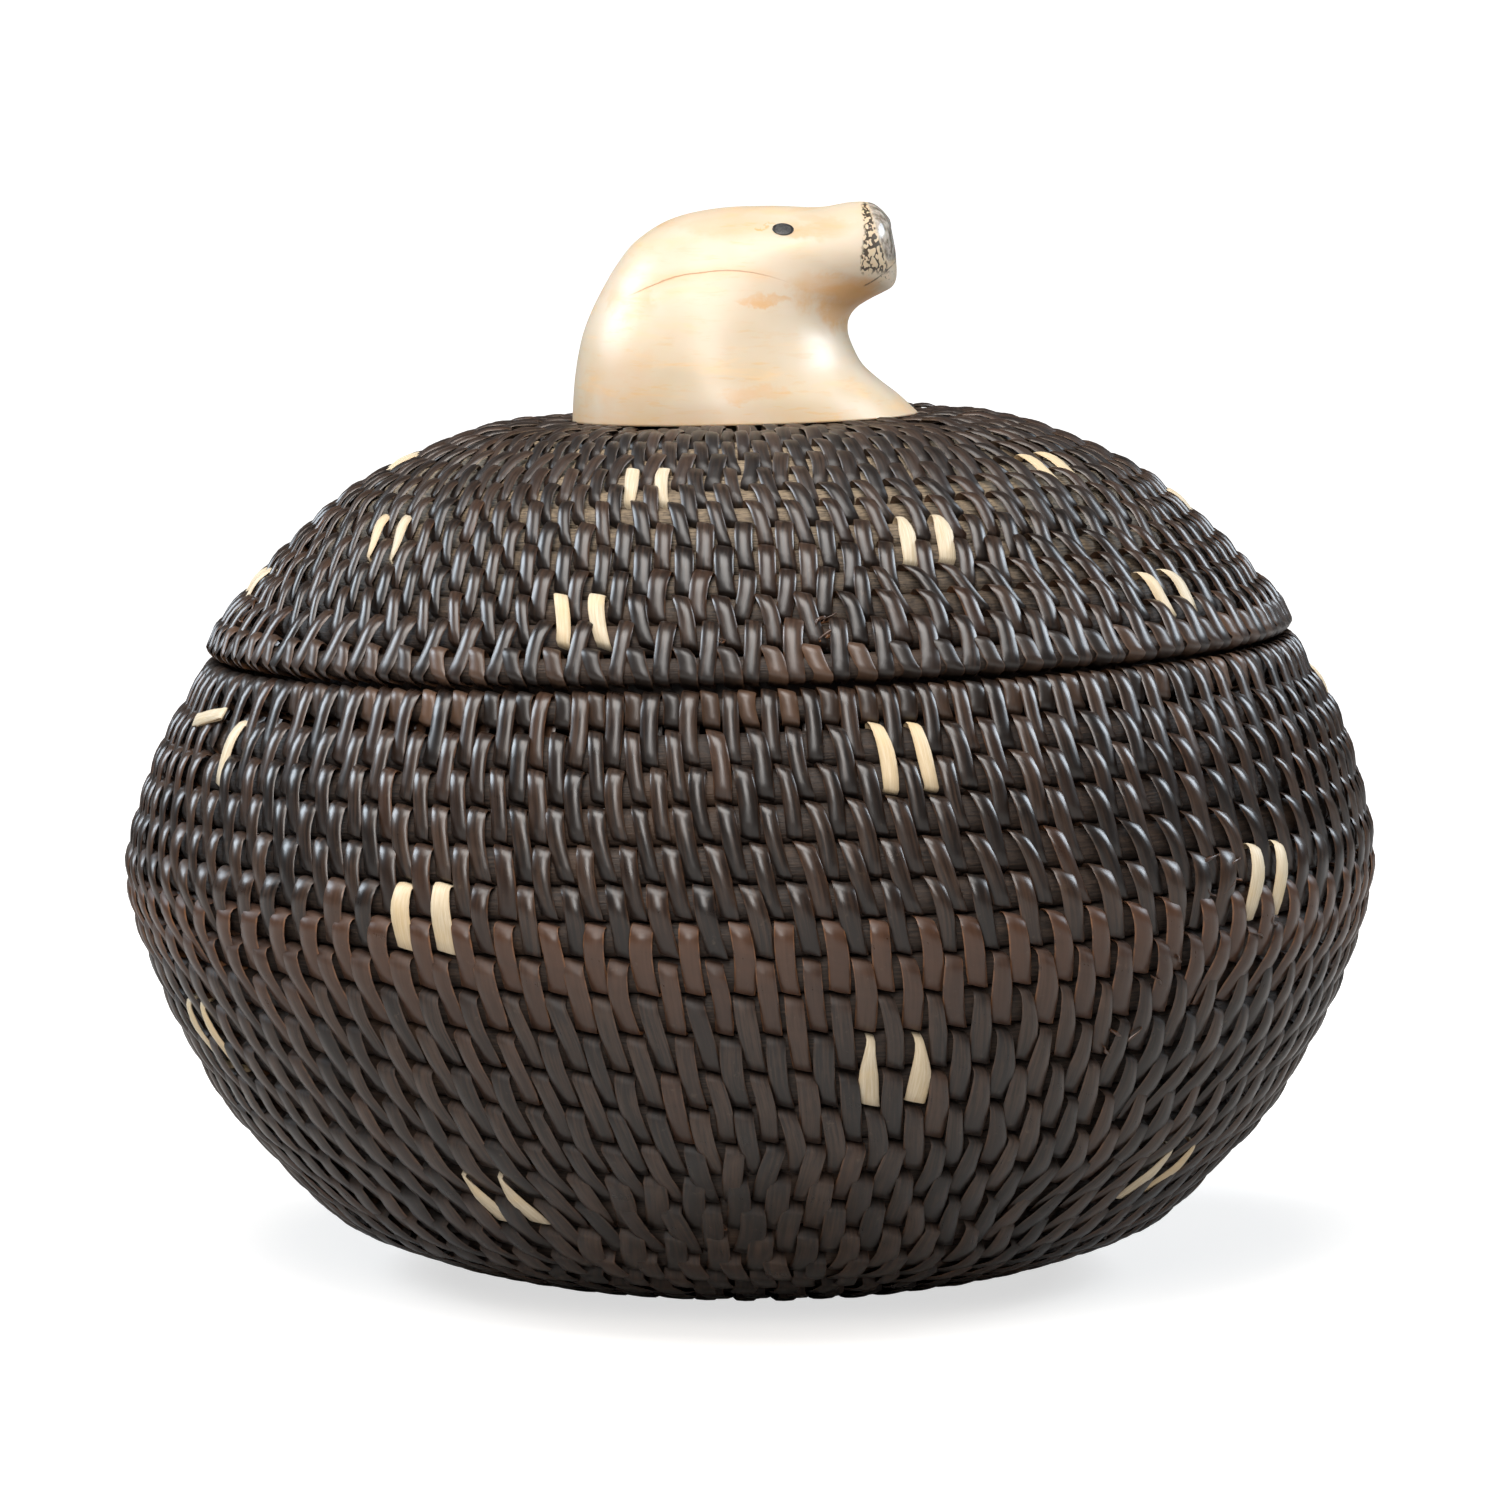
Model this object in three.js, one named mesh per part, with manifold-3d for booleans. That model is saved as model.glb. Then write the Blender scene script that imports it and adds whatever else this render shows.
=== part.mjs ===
// A lidded coiled basket of dark baleen with a carved ivory finial.
// Millimetres, +Z up. The origin is the middle of the foot, on the surface that the basket stands on.
// The finial's snout points to +X, and the front is -Y.

import * as THREE from "three";
import { mergeVertices } from "three/addons/utils/BufferGeometryUtils.js";
import Module from "manifold-3d";

const wasm = await Module();
wasm.setup();

// Overall sizes
const bellyRadius = 50;
const wallHeight = 47.7;
const footRadius = 20;
const lidWallRise = 14.25;
const lidSetIn = 2.8;
const mouthTiltDegrees = 1.5;

// Gap between two pieces that touch on the real basket
const clearance = 0.3;

// Coiling: a foundation rod wound in a spiral from a drilled disc to the rim
const bodyCoilPitch = 3.18;
const lidCoilPitch = 2.5;
const wallThickness = 2.9;
const grooveDepth = 0.6;
const rimRodRadius = 1.35;

// Starter discs, and the strip that laces each disc to its first round of rod
const bodyDiscRadius = 11.3;
const lidDiscRadius = 8.9;
const discThickness = 2;
const discHoleRadius = 0.85;
const discHoleInset = 1.6;
const discHoleSpacing = 5;
const laceWidth = 0.8;
const laceThickness = 0.35;
const laceBend = 0.5;
const laceSink = 0.1;

// Ring inside the lid that drops into the mouth, and the strips folded over its edge
const ringThickness = 0.9;
const ringHeight = 8.5;
const ringStripCount = 8;
const ringStripWidth = 1.4;
const ringStripDrop = 2.6;

// Pale splints: each is one strip that makes two stitches, each over two rounds of rod
const paleWidth = 1.45;
const paleThickness = 0.4;
const paleTurnWidth = 0.85;

// Finial, its peg and its eyes
const finialLength = 27.7;
const finialHeight = 17.3;
const finialWidth = 25.6;
const pegRadius = 1.9;
const pegInFinial = 5;
const pegBelowDisc = 0.9;
const eyeRadius = 0.7;
const eyeDepth = 1.6;
const eyeProud = 0.12;

// How finely round things are divided
const wallSegments = 40;
const wallRowsPerRound = 3;
const wallInsideRows = 10;
const lidInsideRows = 6;
const rodSides = 7;
const discSegments = 32;
const holeSides = 8;
const finialSides = 20;
const pegSides = 14;
const eyeSides = 10;

const fullTurn = 2 * Math.PI;
const tilt = THREE.MathUtils.degToRad(mouthTiltDegrees);

// Outline of the wall's outside from the foot to the mouth, as shares of the belly radius and wall height
const bodyOutlineShares = [
  [0.508, 0.027],
  [0.632, 0.073],
  [0.694, 0.115],
  [0.77, 0.197],
  [0.842, 0.281],
  [0.89, 0.365],
  [0.932, 0.449],
  [0.964, 0.532],
  [0.99, 0.616],
  [1, 0.7],
  [0.984, 0.784],
  [0.946, 0.904],
  [0.894, 1],
];

// Outline of the lid's outside from the middle to the rim, as shares of its radius and rise
const lidOutlineShares = [
  [0.41, 1],
  [0.48, 0.993],
  [0.544, 0.963],
  [0.647, 0.843],
  [0.747, 0.696],
  [0.807, 0.561],
  [0.862, 0.42],
  [0.914, 0.275],
  [0.957, 0.138],
  [1, 0],
];

// The lid's edge lies a little inside the mouth's edge
const mouthRadius = bodyOutlineShares.at(-1)[0] * bellyRadius;
const lidWallRadius = mouthRadius - lidSetIn;

// Finial sections from its base to its nose: front x and z, back x and z, width.
// Shares of the finial's length, height and width.
const finialShares = [
  [0.505, 0, -0.494, 0, 1],
  [0.45, 0.086, -0.489, 0.116, 0.977],
  [0.393, 0.16, -0.482, 0.214, 0.945],
  [0.347, 0.232, -0.471, 0.312, 0.914],
  [0.322, 0.308, -0.455, 0.41, 0.875],
  [0.308, 0.378, -0.43, 0.507, 0.836],
  [0.311, 0.441, -0.398, 0.604, 0.789],
  [0.334, 0.492, -0.356, 0.712, 0.734],
  [0.374, 0.531, -0.296, 0.825, 0.68],
  [0.411, 0.559, -0.194, 0.922, 0.625],
  [0.436, 0.581, -0.059, 0.966, 0.578],
  [0.448, 0.609, 0.092, 0.971, 0.523],
  [0.452, 0.643, 0.229, 0.959, 0.461],
  [0.452, 0.69, 0.324, 0.978, 0.391],
  [0.45, 0.748, 0.381, 0.973, 0.312],
  [0.444, 0.812, 0.413, 0.94, 0.219],
  [0.439, 0.858, 0.434, 0.899, 0.094],
];
const eyeSectionShare = 0.655;
const eyeSideDegrees = 118;

// Pale stitches: share of the way up or down the wall, stitches in that round, bearings in degrees.
// A bearing is measured from the front towards +X.
const bodyPaleLevels = [
  { share: 0.409, stitches: 84, bearings: [-31, 54, 140, 226] },
  { share: 0.587, stitches: 84, bearings: [-66, 13.7, 96, 163, 229] },
  { share: 0.776, stitches: 84, bearings: [-28.6, 51.3, 124, 197, 255] },
  { share: 0.96, stitches: 84, bearings: [-61, 13.5, 89, 159, 230] },
];
const lidPaleLevels = [
  { share: 0.475, stitches: 66, bearings: [-16.7, 54.5, 126, 198, 270] },
  { share: 0.691, stitches: 70, bearings: [-55.5, 20.7, 94, 165, 234] },
  { share: 0.93, stitches: 80, bearings: [-84.6, -17.8, 52.6, 125, 200] },
];

// Materials
const finishes = {
  baleen: { color: 0x2b211c, roughness: 0.38, metalness: 0 },
  wrappedRim: { color: 0x3b2b22, roughness: 0.4, metalness: 0 },
  lacing: { color: 0x4a3528, roughness: 0.45, metalness: 0 },
  paleSplint: { color: 0xe2d3a8, roughness: 0.5, metalness: 0 },
  ivory: { color: 0xf0e2c6, roughness: 0.28, metalness: 0 },
  inlay: { color: 0x2e2b2a, roughness: 0.35, metalness: 0 },
};

const basket = new THREE.Group();

function addPiece(group, name, geometry, finish) {
  const mesh = new THREE.Mesh(geometry, new THREE.MeshStandardMaterial(finish));
  mesh.name = name;
  group.add(mesh);
}

// A closed geometry from points and triangles. Points in the same place become one.
function closedGeometry(points, triangles) {
  const places = new Map();
  const kept = [];
  const newIndex = points.map((point) => {
    const key = point.join(" ");
    if (!places.has(key)) {
      places.set(key, kept.length);
      kept.push(point);
    }
    return places.get(key);
  });
  const faces = triangles
    .map((triangle) => triangle.map((corner) => newIndex[corner]))
    .filter(([a, b, c]) => a !== b && b !== c && c !== a);
  const geometry = new THREE.BufferGeometry();
  geometry.setAttribute("position", new THREE.Float32BufferAttribute(kept.flat(), 3));
  geometry.setIndex(faces.flat());
  return geometry;
}

// A skin over rings of points, either joined end to end or closed with a flat cap at each end
function loft(rings, isLoop) {
  const count = rings[0].length;
  const triangles = [];
  const spans = isLoop ? rings.length : rings.length - 1;
  for (let i = 0; i < spans; i++) {
    const here = i * count;
    const there = ((i + 1) % rings.length) * count;
    for (let j = 0; j < count; j++) {
      const next = (j + 1) % count;
      triangles.push([here + j, here + next, there + next], [here + j, there + next, there + j]);
    }
  }
  if (!isLoop) {
    const last = (rings.length - 1) * count;
    for (let j = 1; j + 1 < count; j++) {
      triangles.push([0, j + 1, j], [last, last + j, last + j + 1]);
    }
  }
  return closedGeometry(rings.flat(), triangles);
}

function solidOf(geometry) {
  const bare = geometry.clone();
  bare.deleteAttribute("normal");
  bare.deleteAttribute("uv");
  const welded = mergeVertices(bare);
  return new wasm.Manifold(
    new wasm.Mesh({
      numProp: 3,
      vertProperties: welded.attributes.position.array,
      triVerts: new Uint32Array(welded.index.array),
    }),
  );
}

function cut(geometry, tools) {
  const mesh = tools.reduce((solid, tool) => solid.subtract(solidOf(tool)), solidOf(geometry)).getMesh();
  const result = new THREE.BufferGeometry();
  result.setAttribute("position", new THREE.BufferAttribute(new Float32Array(mesh.vertProperties), 3));
  result.setIndex(new THREE.BufferAttribute(new Uint32Array(mesh.triVerts), 1));
  return result;
}

// A cylinder of a radius from one point to another
function pin(from, to, radius, sides) {
  const axis = new THREE.Vector3().subVectors(to, from);
  const geometry = new THREE.CylinderGeometry(radius, radius, axis.length(), sides);
  geometry.applyQuaternion(
    new THREE.Quaternion().setFromUnitVectors(new THREE.Vector3(0, 1, 0), axis.clone().normalize()),
  );
  const middle = new THREE.Vector3().addVectors(from, to).multiplyScalar(0.5);
  return geometry.translate(middle.x, middle.y, middle.z);
}

function circlePoints(x, y, radius, count) {
  return Array.from({ length: count }, (_, i) => {
    const angle = (fullTurn * i) / count;
    return new THREE.Vector2(x + radius * Math.cos(angle), y + radius * Math.sin(angle));
  });
}

// Least distance between points of a closed line that are at least a number of points apart on it
function leastGap(points, apart) {
  let least = Infinity;
  points.forEach((point, i) => {
    for (let j = i + apart; j <= i + points.length - apart; j++) {
      least = Math.min(least, point.distanceTo(points[j % points.length]));
    }
  });
  return least;
}

function bearingAngle(bearing) {
  return THREE.MathUtils.degToRad(bearing - 90);
}

// Places that both starters share. The first round of rod is as thick as the disc that it goes round.
const firstRodRadius = discThickness / 2;
const laceReach = discThickness / 2 + clearance + laceThickness / 2;

function starterPlaces(discRadius) {
  const rodCentre = discRadius + clearance + firstRodRadius;
  const laceOuter = rodCentre + laceReach;
  const holeCircle = discRadius - discHoleInset;
  return {
    discRadius,
    rodCentre,
    laceOuter,
    holeCircle,
    holeCount: Math.round((fullTurn * holeCircle) / discHoleSpacing),
    wallStart: laceOuter + laceThickness / 2 + clearance,
  };
}

// Distance from the wall's outer face to the middle of a starter disc
const discMiddleDepth = laceSink + laceThickness / 2 + laceReach;

// A drilled disc whose middle plane is at height z, with an extra hole in the middle if one is asked for
function starterDisc(places, z, middleHoleRadius) {
  const outline = new THREE.Shape(circlePoints(0, 0, places.discRadius, discSegments));
  for (let i = 0; i < places.holeCount; i++) {
    const angle = (fullTurn * i) / places.holeCount;
    const x = places.holeCircle * Math.cos(angle);
    const y = places.holeCircle * Math.sin(angle);
    outline.holes.push(new THREE.Path(circlePoints(x, y, discHoleRadius, holeSides)));
  }
  if (middleHoleRadius > 0) {
    outline.holes.push(new THREE.Path(circlePoints(0, 0, middleHoleRadius, pegSides)));
  }
  const geometry = new THREE.ExtrudeGeometry(outline, { depth: discThickness, bevelEnabled: false });
  return geometry.translate(0, 0, z - discThickness / 2);
}

// One strip that goes up through a hole, out over the first rod, down round it and under to the next hole
function starterLacing(places, z) {
  const step = fullTurn / places.holeCount;
  const inner = places.holeCircle;
  const outer = places.laceOuter;
  const corners = [
    [inner, laceReach - laceBend, 0, -1, 0],
    [inner + laceBend, laceReach, 0, 0, 1],
    [outer - laceBend, laceReach, 0, 0, 1],
    [outer, laceReach - laceBend, 0, 1, 0],
    [outer, laceBend - laceReach, 0, 1, 0],
    [outer - laceBend, -laceReach, 0, 0, -1],
    [inner + laceBend, -laceReach, 1, 0, -1],
    [inner, laceBend - laceReach, 1, -1, 0],
  ];
  const rings = [];
  for (let i = 0; i < places.holeCount; i++) {
    corners.forEach(([radius, height, stepsOn], k) => {
      const before = corners[(k + corners.length - 1) % corners.length];
      const after = corners[(k + 1) % corners.length];
      const out = new THREE.Vector2(after[1] - before[1], before[0] - after[0]).normalize().negate();
      const angle = (i + stepsOn) * step;
      const sideways = [-Math.sin(angle), Math.cos(angle)];
      const at = (width, thickness) => {
        const r = radius + out.x * thickness;
        return [
          r * Math.cos(angle) + sideways[0] * width,
          r * Math.sin(angle) + sideways[1] * width,
          z + height + out.y * thickness,
        ];
      };
      const [w, t] = [laceWidth / 2, laceThickness / 2];
      rings.push([at(-w, -t), at(w, -t), at(w, t), at(-w, t)]);
    });
  }
  const middles = rings.map((ring) =>
    new THREE.Vector3().addVectors(new THREE.Vector3(...ring[0]), new THREE.Vector3(...ring[2])).divideScalar(2),
  );
  const gap = leastGap(middles, corners.length / 2) - laceWidth;
  console.log(`lacing round radius ${places.discRadius}: least gap to itself ${gap.toFixed(2)} mm`);
  return loft(rings, true);
}

const bodyStarter = starterPlaces(bodyDiscRadius);
const lidStarter = starterPlaces(lidDiscRadius);

// The two walls. Each outline runs from its starter to its rim, and side says where outside is.
const bodyOutline = new THREE.CurvePath();
const footEdge = new THREE.Vector2(footRadius, 0);
bodyOutline.add(new THREE.LineCurve(new THREE.Vector2(bodyStarter.wallStart, 0), footEdge));
bodyOutline.add(
  new THREE.SplineCurve([
    footEdge,
    ...bodyOutlineShares.map(([r, z]) => new THREE.Vector2(r * bellyRadius, z * wallHeight)),
  ]),
);

const lidOutline = new THREE.CurvePath();
lidOutline.add(
  new THREE.SplineCurve([
    new THREE.Vector2(lidStarter.wallStart, lidWallRise),
    ...lidOutlineShares.map(([r, z]) => new THREE.Vector2(r * lidWallRadius, z * lidWallRise)),
  ]),
);

// The mouth leans a little: no lean up to the belly, and all of it at the mouth
const leanFromShare = 0.5;
const leanToShare = 0.95;

function lean(x, z) {
  const share = THREE.MathUtils.smoothstep(z, leanFromShare * wallHeight, leanToShare * wallHeight);
  return x * Math.tan(tilt) * share;
}

const bodyWall = {
  outline: bodyOutline,
  length: bodyOutline.getLength(),
  pitch: bodyCoilPitch,
  side: 1,
  flat: footRadius - bodyStarter.wallStart,
  insideRows: wallInsideRows,
  lean,
};
const lidWall = {
  outline: lidOutline,
  length: lidOutline.getLength(),
  pitch: lidCoilPitch,
  side: -1,
  flat: 0,
  insideRows: lidInsideRows,
  lean: () => 0,
};

// Point of the outline, and the direction away from the hollow, at a distance along it
function outlineAt(wall, distance) {
  const share = THREE.MathUtils.clamp(distance / wall.length, 0, 1);
  const point = wall.outline.getPoint(share);
  const tangent = wall.outline.getTangent(share);
  return { point, tangent, outward: new THREE.Vector2(tangent.y, -tangent.x).multiplyScalar(wall.side) };
}

// A point at a distance along the wall and an angle round it, raised above the rounds' crests
function onWall(wall, distance, angle, raised) {
  const { point, outward } = outlineAt(wall, distance);
  const r = point.x + outward.x * raised;
  const z = point.y + outward.y * raised;
  const x = r * Math.cos(angle);
  return [x, r * Math.sin(angle), z + wall.lean(x, z)];
}

// Depth of the groove between two rounds. It fades out on the flat foot and at the rim.
function grooveAt(wall, distance, angle) {
  const rounds = distance / wall.pitch - angle / fullTurn;
  const offGroove = Math.abs(rounds - Math.round(rounds));
  const fadeIn = THREE.MathUtils.clamp((distance - wall.flat) / wall.pitch, 0, 1);
  const fadeOut = THREE.MathUtils.clamp((wall.length - distance) / wall.pitch, 0, 1);
  return grooveDepth * Math.max(0, 1 - offGroove * wallRowsPerRound) * fadeIn * fadeOut;
}

// A wall whose outside is one spiral of rounds and whose inside is plain
function coiledWall(wall) {
  const outsideRows = (Math.ceil(wall.length / wall.pitch) + 1) * wallRowsPerRound;
  const rowCount = outsideRows + 1 + wall.insideRows + 1;
  const points = [];
  for (let i = 0; i < wallSegments; i++) {
    const angle = (fullTurn * i) / wallSegments;
    for (let j = 0; j <= outsideRows; j++) {
      const rounds = j / wallRowsPerRound - 1 + i / wallSegments;
      const distance = THREE.MathUtils.clamp(rounds * wall.pitch, 0, wall.length);
      points.push(onWall(wall, distance, angle, -grooveAt(wall, distance, angle)));
    }
    for (let k = wall.insideRows; k >= 0; k--) {
      points.push(onWall(wall, (wall.length * k) / wall.insideRows, angle, -wallThickness));
    }
  }
  // The last column is the first one again, one round further on
  const indexOf = (i, j) => {
    const row = j % rowCount;
    if (i < wallSegments) return i * rowCount + row;
    return row <= outsideRows ? Math.min(row + wallRowsPerRound, outsideRows) : row;
  };
  const triangles = [];
  for (let i = 0; i < wallSegments; i++) {
    for (let j = 0; j < rowCount; j++) {
      const corners = [indexOf(i, j), indexOf(i + 1, j), indexOf(i + 1, j + 1), indexOf(i, j + 1)];
      if (wall.side < 0) corners.reverse();
      const [a, b, c, d] = corners;
      triangles.push([a, b, c], [a, c, d]);
    }
  }
  return closedGeometry(points, triangles);
}

// Centre of the wrapped rod that follows a wall's edge
function rimRodCentre(wall) {
  const { point, tangent, outward } = outlineAt(wall, wall.length);
  return point
    .clone()
    .addScaledVector(outward, -wallThickness / 2)
    .addScaledVector(tangent, clearance + rimRodRadius);
}

function rimRod(radius, z) {
  return new THREE.TorusGeometry(radius, rimRodRadius, rodSides, wallSegments).translate(0, 0, z);
}

// One pale splint: up over two rounds, along the groove above them, and down over the same two rounds
const paleSinkShare = 0.5;
const paleSinkFromShare = 0.6;
const paleRiseShares = [-1, -0.8, -0.42, 0, 0.42, 0.72];

function paleSplintGeometry(wall, share, stitches, bearing) {
  const angle = bearingAngle(bearing);
  const spiral = angle / fullTurn;
  const pitch = wall.pitch;
  const groove = Math.round((share * wall.length) / pitch - spiral);
  const middle = Math.min((groove + spiral) * pitch, wall.length - pitch - paleTurnWidth / 2);
  const radius = outlineAt(wall, middle).point.x;
  const halfSpacing = Math.PI / stitches;
  const halfWidth = paleWidth / 2 / radius;
  const turnFrom = middle + pitch - paleTurnWidth / 2;
  const turnTo = middle + pitch + paleTurnWidth / 2;
  const raisedAt = (riseShare) => {
    const sunk = THREE.MathUtils.smoothstep(Math.abs(riseShare), paleSinkFromShare, 1);
    return clearance - sunk * paleSinkShare * grooveAt(wall, middle + riseShare * pitch, angle);
  };
  const run = paleRiseShares.map((riseShare) => ({
    outer: [halfSpacing + halfWidth, middle + riseShare * pitch],
    inner: [halfSpacing - halfWidth, middle + riseShare * pitch],
    raised: raisedAt(riseShare),
  }));
  run.push({
    outer: [halfSpacing + halfWidth, turnTo],
    inner: [halfSpacing - halfWidth, turnFrom],
    raised: raisedAt(1),
  });
  const section = ({ outer, inner, raised }, hand) => {
    const at = ([offset, distance], height) => onWall(wall, distance, angle + hand * offset, height);
    const corners = [
      at(outer, raised),
      at(inner, raised),
      at(inner, raised + paleThickness),
      at(outer, raised + paleThickness),
    ];
    return wall.side > 0 ? corners.reverse() : corners;
  };
  const leftRun = run.map((place) => section(place, -1));
  const rightRun = run.map((place) => section(place, 1)).reverse();
  return loft([...leftRun, ...rightRun], false);
}

function addPaleSplints(group, prefix, wall, levels) {
  levels.forEach(({ share, stitches, bearings }, level) => {
    bearings.forEach((bearing, i) => {
      const name = `${prefix}_${level + 1}_${i + 1}`;
      addPiece(group, name, paleSplintGeometry(wall, share, stitches, bearing), finishes.paleSplint);
    });
  });
}

// Body: starter, wall and the wrapped rod of the mouth
const bodyDiscMiddle = discMiddleDepth;
addPiece(basket, "base_disc", starterDisc(bodyStarter, bodyDiscMiddle, 0), finishes.ivory);
addPiece(
  basket,
  "base_first_rod",
  new THREE.TorusGeometry(bodyStarter.rodCentre, firstRodRadius, rodSides, discSegments).translate(
    0,
    0,
    bodyDiscMiddle,
  ),
  finishes.baleen,
);
addPiece(basket, "base_lacing", starterLacing(bodyStarter, bodyDiscMiddle), finishes.lacing);
addPiece(basket, "body_wall", coiledWall(bodyWall), finishes.baleen);
addPaleSplints(basket, "body_pale", bodyWall, bodyPaleLevels);

// Everything from the mouth up leans with the mouth
const mouthCentre = rimRodCentre(bodyWall);
const crown = new THREE.Group();
crown.position.z = mouthCentre.y;
crown.rotation.y = -tilt;
basket.add(crown);
addPiece(crown, "mouth_rod", rimRod(mouthCentre.x, 0), finishes.wrappedRim);

// Lid: its zero height is the lower edge of its wall
const lidRodCentre = rimRodCentre(lidWall);
const lid = new THREE.Group();
lid.position.z = 2 * rimRodRadius + clearance - lidRodCentre.y;
crown.add(lid);

const lidDiscMiddle = lidWallRise - discMiddleDepth;
addPiece(lid, "lid_disc", starterDisc(lidStarter, lidDiscMiddle, pegRadius + clearance), finishes.ivory);
addPiece(
  lid,
  "lid_first_rod",
  new THREE.TorusGeometry(lidStarter.rodCentre, firstRodRadius, rodSides, discSegments).translate(
    0,
    0,
    lidDiscMiddle,
  ),
  finishes.baleen,
);
addPiece(lid, "lid_lacing", starterLacing(lidStarter, lidDiscMiddle), finishes.lacing);
addPiece(lid, "lid_wall", coiledWall(lidWall), finishes.baleen);
addPiece(lid, "lid_rod", rimRod(lidRodCentre.x, lidRodCentre.y), finishes.wrappedRim);
addPaleSplints(lid, "lid_pale", lidWall, lidPaleLevels);

// Ring inside the lid. A folded strip fits between it and the rim rod, and between it and the wall.
const stripRoom = 2 * clearance + laceThickness;
const wallInnerEdge = onWall(lidWall, lidWall.length, 0, -wallThickness);
const ringOuter = lidRodCentre.x - rimRodRadius - stripRoom;
const ringInner = ringOuter - ringThickness;
const ringTop = wallInnerEdge[2] - stripRoom;
const ringBottom = ringTop - ringHeight;
const ringSection = [
  [ringInner, ringBottom],
  [ringOuter, ringBottom],
  [ringOuter, ringTop],
  [ringInner, ringTop],
  [ringInner, ringBottom],
];
const ringGeometry = new THREE.LatheGeometry(
  ringSection.map(([r, z]) => new THREE.Vector2(r, z)),
  wallSegments,
);
addPiece(lid, "lid_ring", ringGeometry.rotateX(Math.PI / 2), finishes.baleen);

const stripInner = ringInner - clearance;
const stripOuter = ringOuter + clearance;
const stripTop = ringTop + clearance;
const stripSection = [
  [stripInner - laceThickness, stripTop - ringStripDrop],
  [stripInner, stripTop - ringStripDrop],
  [stripInner, stripTop],
  [stripOuter, stripTop],
  [stripOuter, stripTop - ringStripDrop],
  [stripOuter + laceThickness, stripTop - ringStripDrop],
  [stripOuter + laceThickness, stripTop + laceThickness],
  [stripInner - laceThickness, stripTop + laceThickness],
];
for (let i = 0; i < ringStripCount; i++) {
  const outline = new THREE.Shape(stripSection.map(([r, z]) => new THREE.Vector2(r, z)));
  const strip = new THREE.ExtrudeGeometry(outline, { depth: ringStripWidth, bevelEnabled: false });
  strip.translate(0, 0, -ringStripWidth / 2);
  strip.rotateX(Math.PI / 2);
  strip.rotateZ((fullTurn * i) / ringStripCount);
  addPiece(lid, `ring_strip_${i + 1}`, strip, finishes.lacing);
}

// Finial: sections that turn from level at the base to upright at the nose
function finialPlace(sectionIndex, around) {
  const low = Math.min(Math.floor(sectionIndex), finialShares.length - 2);
  const mix = sectionIndex - low;
  const [frontX, frontZ, backX, backZ, width] = finialShares[low].map((value, k) =>
    THREE.MathUtils.lerp(value, finialShares[low + 1][k], mix),
  );
  const forward = (1 + Math.cos(around)) / 2;
  return new THREE.Vector3(
    THREE.MathUtils.lerp(backX, frontX, forward) * finialLength,
    (Math.sin(around) * width * finialWidth) / 2,
    finialBase + THREE.MathUtils.lerp(backZ, frontZ, forward) * finialHeight,
  );
}

const finialBase = lidWallRise + clearance;
const finialRings = finialShares.map((_, section) =>
  Array.from({ length: finialSides }, (_, i) => finialPlace(section, (fullTurn * i) / finialSides).toArray()),
);

// A point on the finial's side and the direction out of it
function eyeSocket(hand) {
  const section = eyeSectionShare * (finialShares.length - 1);
  const around = hand * THREE.MathUtils.degToRad(eyeSideDegrees);
  const small = 0.05;
  const point = finialPlace(section, around);
  const along = finialPlace(section + small, around).sub(finialPlace(section - small, around));
  const across = finialPlace(section, around + small).sub(finialPlace(section, around - small));
  return { point, outward: across.cross(along).normalize() };
}

const sockets = { left: eyeSocket(1), right: eyeSocket(-1) };
const socketTools = Object.values(sockets).map(({ point, outward }) =>
  pin(
    point.clone().addScaledVector(outward, -eyeDepth - clearance),
    point.clone().addScaledVector(outward, eyeDepth),
    eyeRadius + clearance,
    eyeSides,
  ),
);
const pegTop = finialBase + pegInFinial;
const pegHole = pin(
  new THREE.Vector3(0, 0, finialBase - pegRadius),
  new THREE.Vector3(0, 0, pegTop + clearance),
  pegRadius + clearance,
  pegSides,
);
addPiece(lid, "finial", cut(loft(finialRings, false), [...socketTools, pegHole]), finishes.ivory);
const pegBottom = new THREE.Vector3(0, 0, lidDiscMiddle - discThickness / 2 - pegBelowDisc);
addPiece(
  lid,
  "finial_peg",
  pin(pegBottom, new THREE.Vector3(0, 0, pegTop), pegRadius, pegSides),
  finishes.ivory,
);
for (const [side, { point, outward }] of Object.entries(sockets)) {
  const from = point.clone().addScaledVector(outward, -eyeDepth);
  const to = point.clone().addScaledVector(outward, eyeProud);
  addPiece(lid, `finial_eye_${side}`, pin(from, to, eyeRadius, eyeSides), finishes.inlay);
}

export default basket;
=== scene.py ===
# A lidded coiled basket of dark baleen with a carved ivory finial, dressed round its CAD frame.
# Sizes are in millimetres here and become metres when a piece is finished. +Z is up, the front is -Y.

import math
import random
import bmesh
import bpy
import numpy as np
from mathutils import Matrix, Vector


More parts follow.
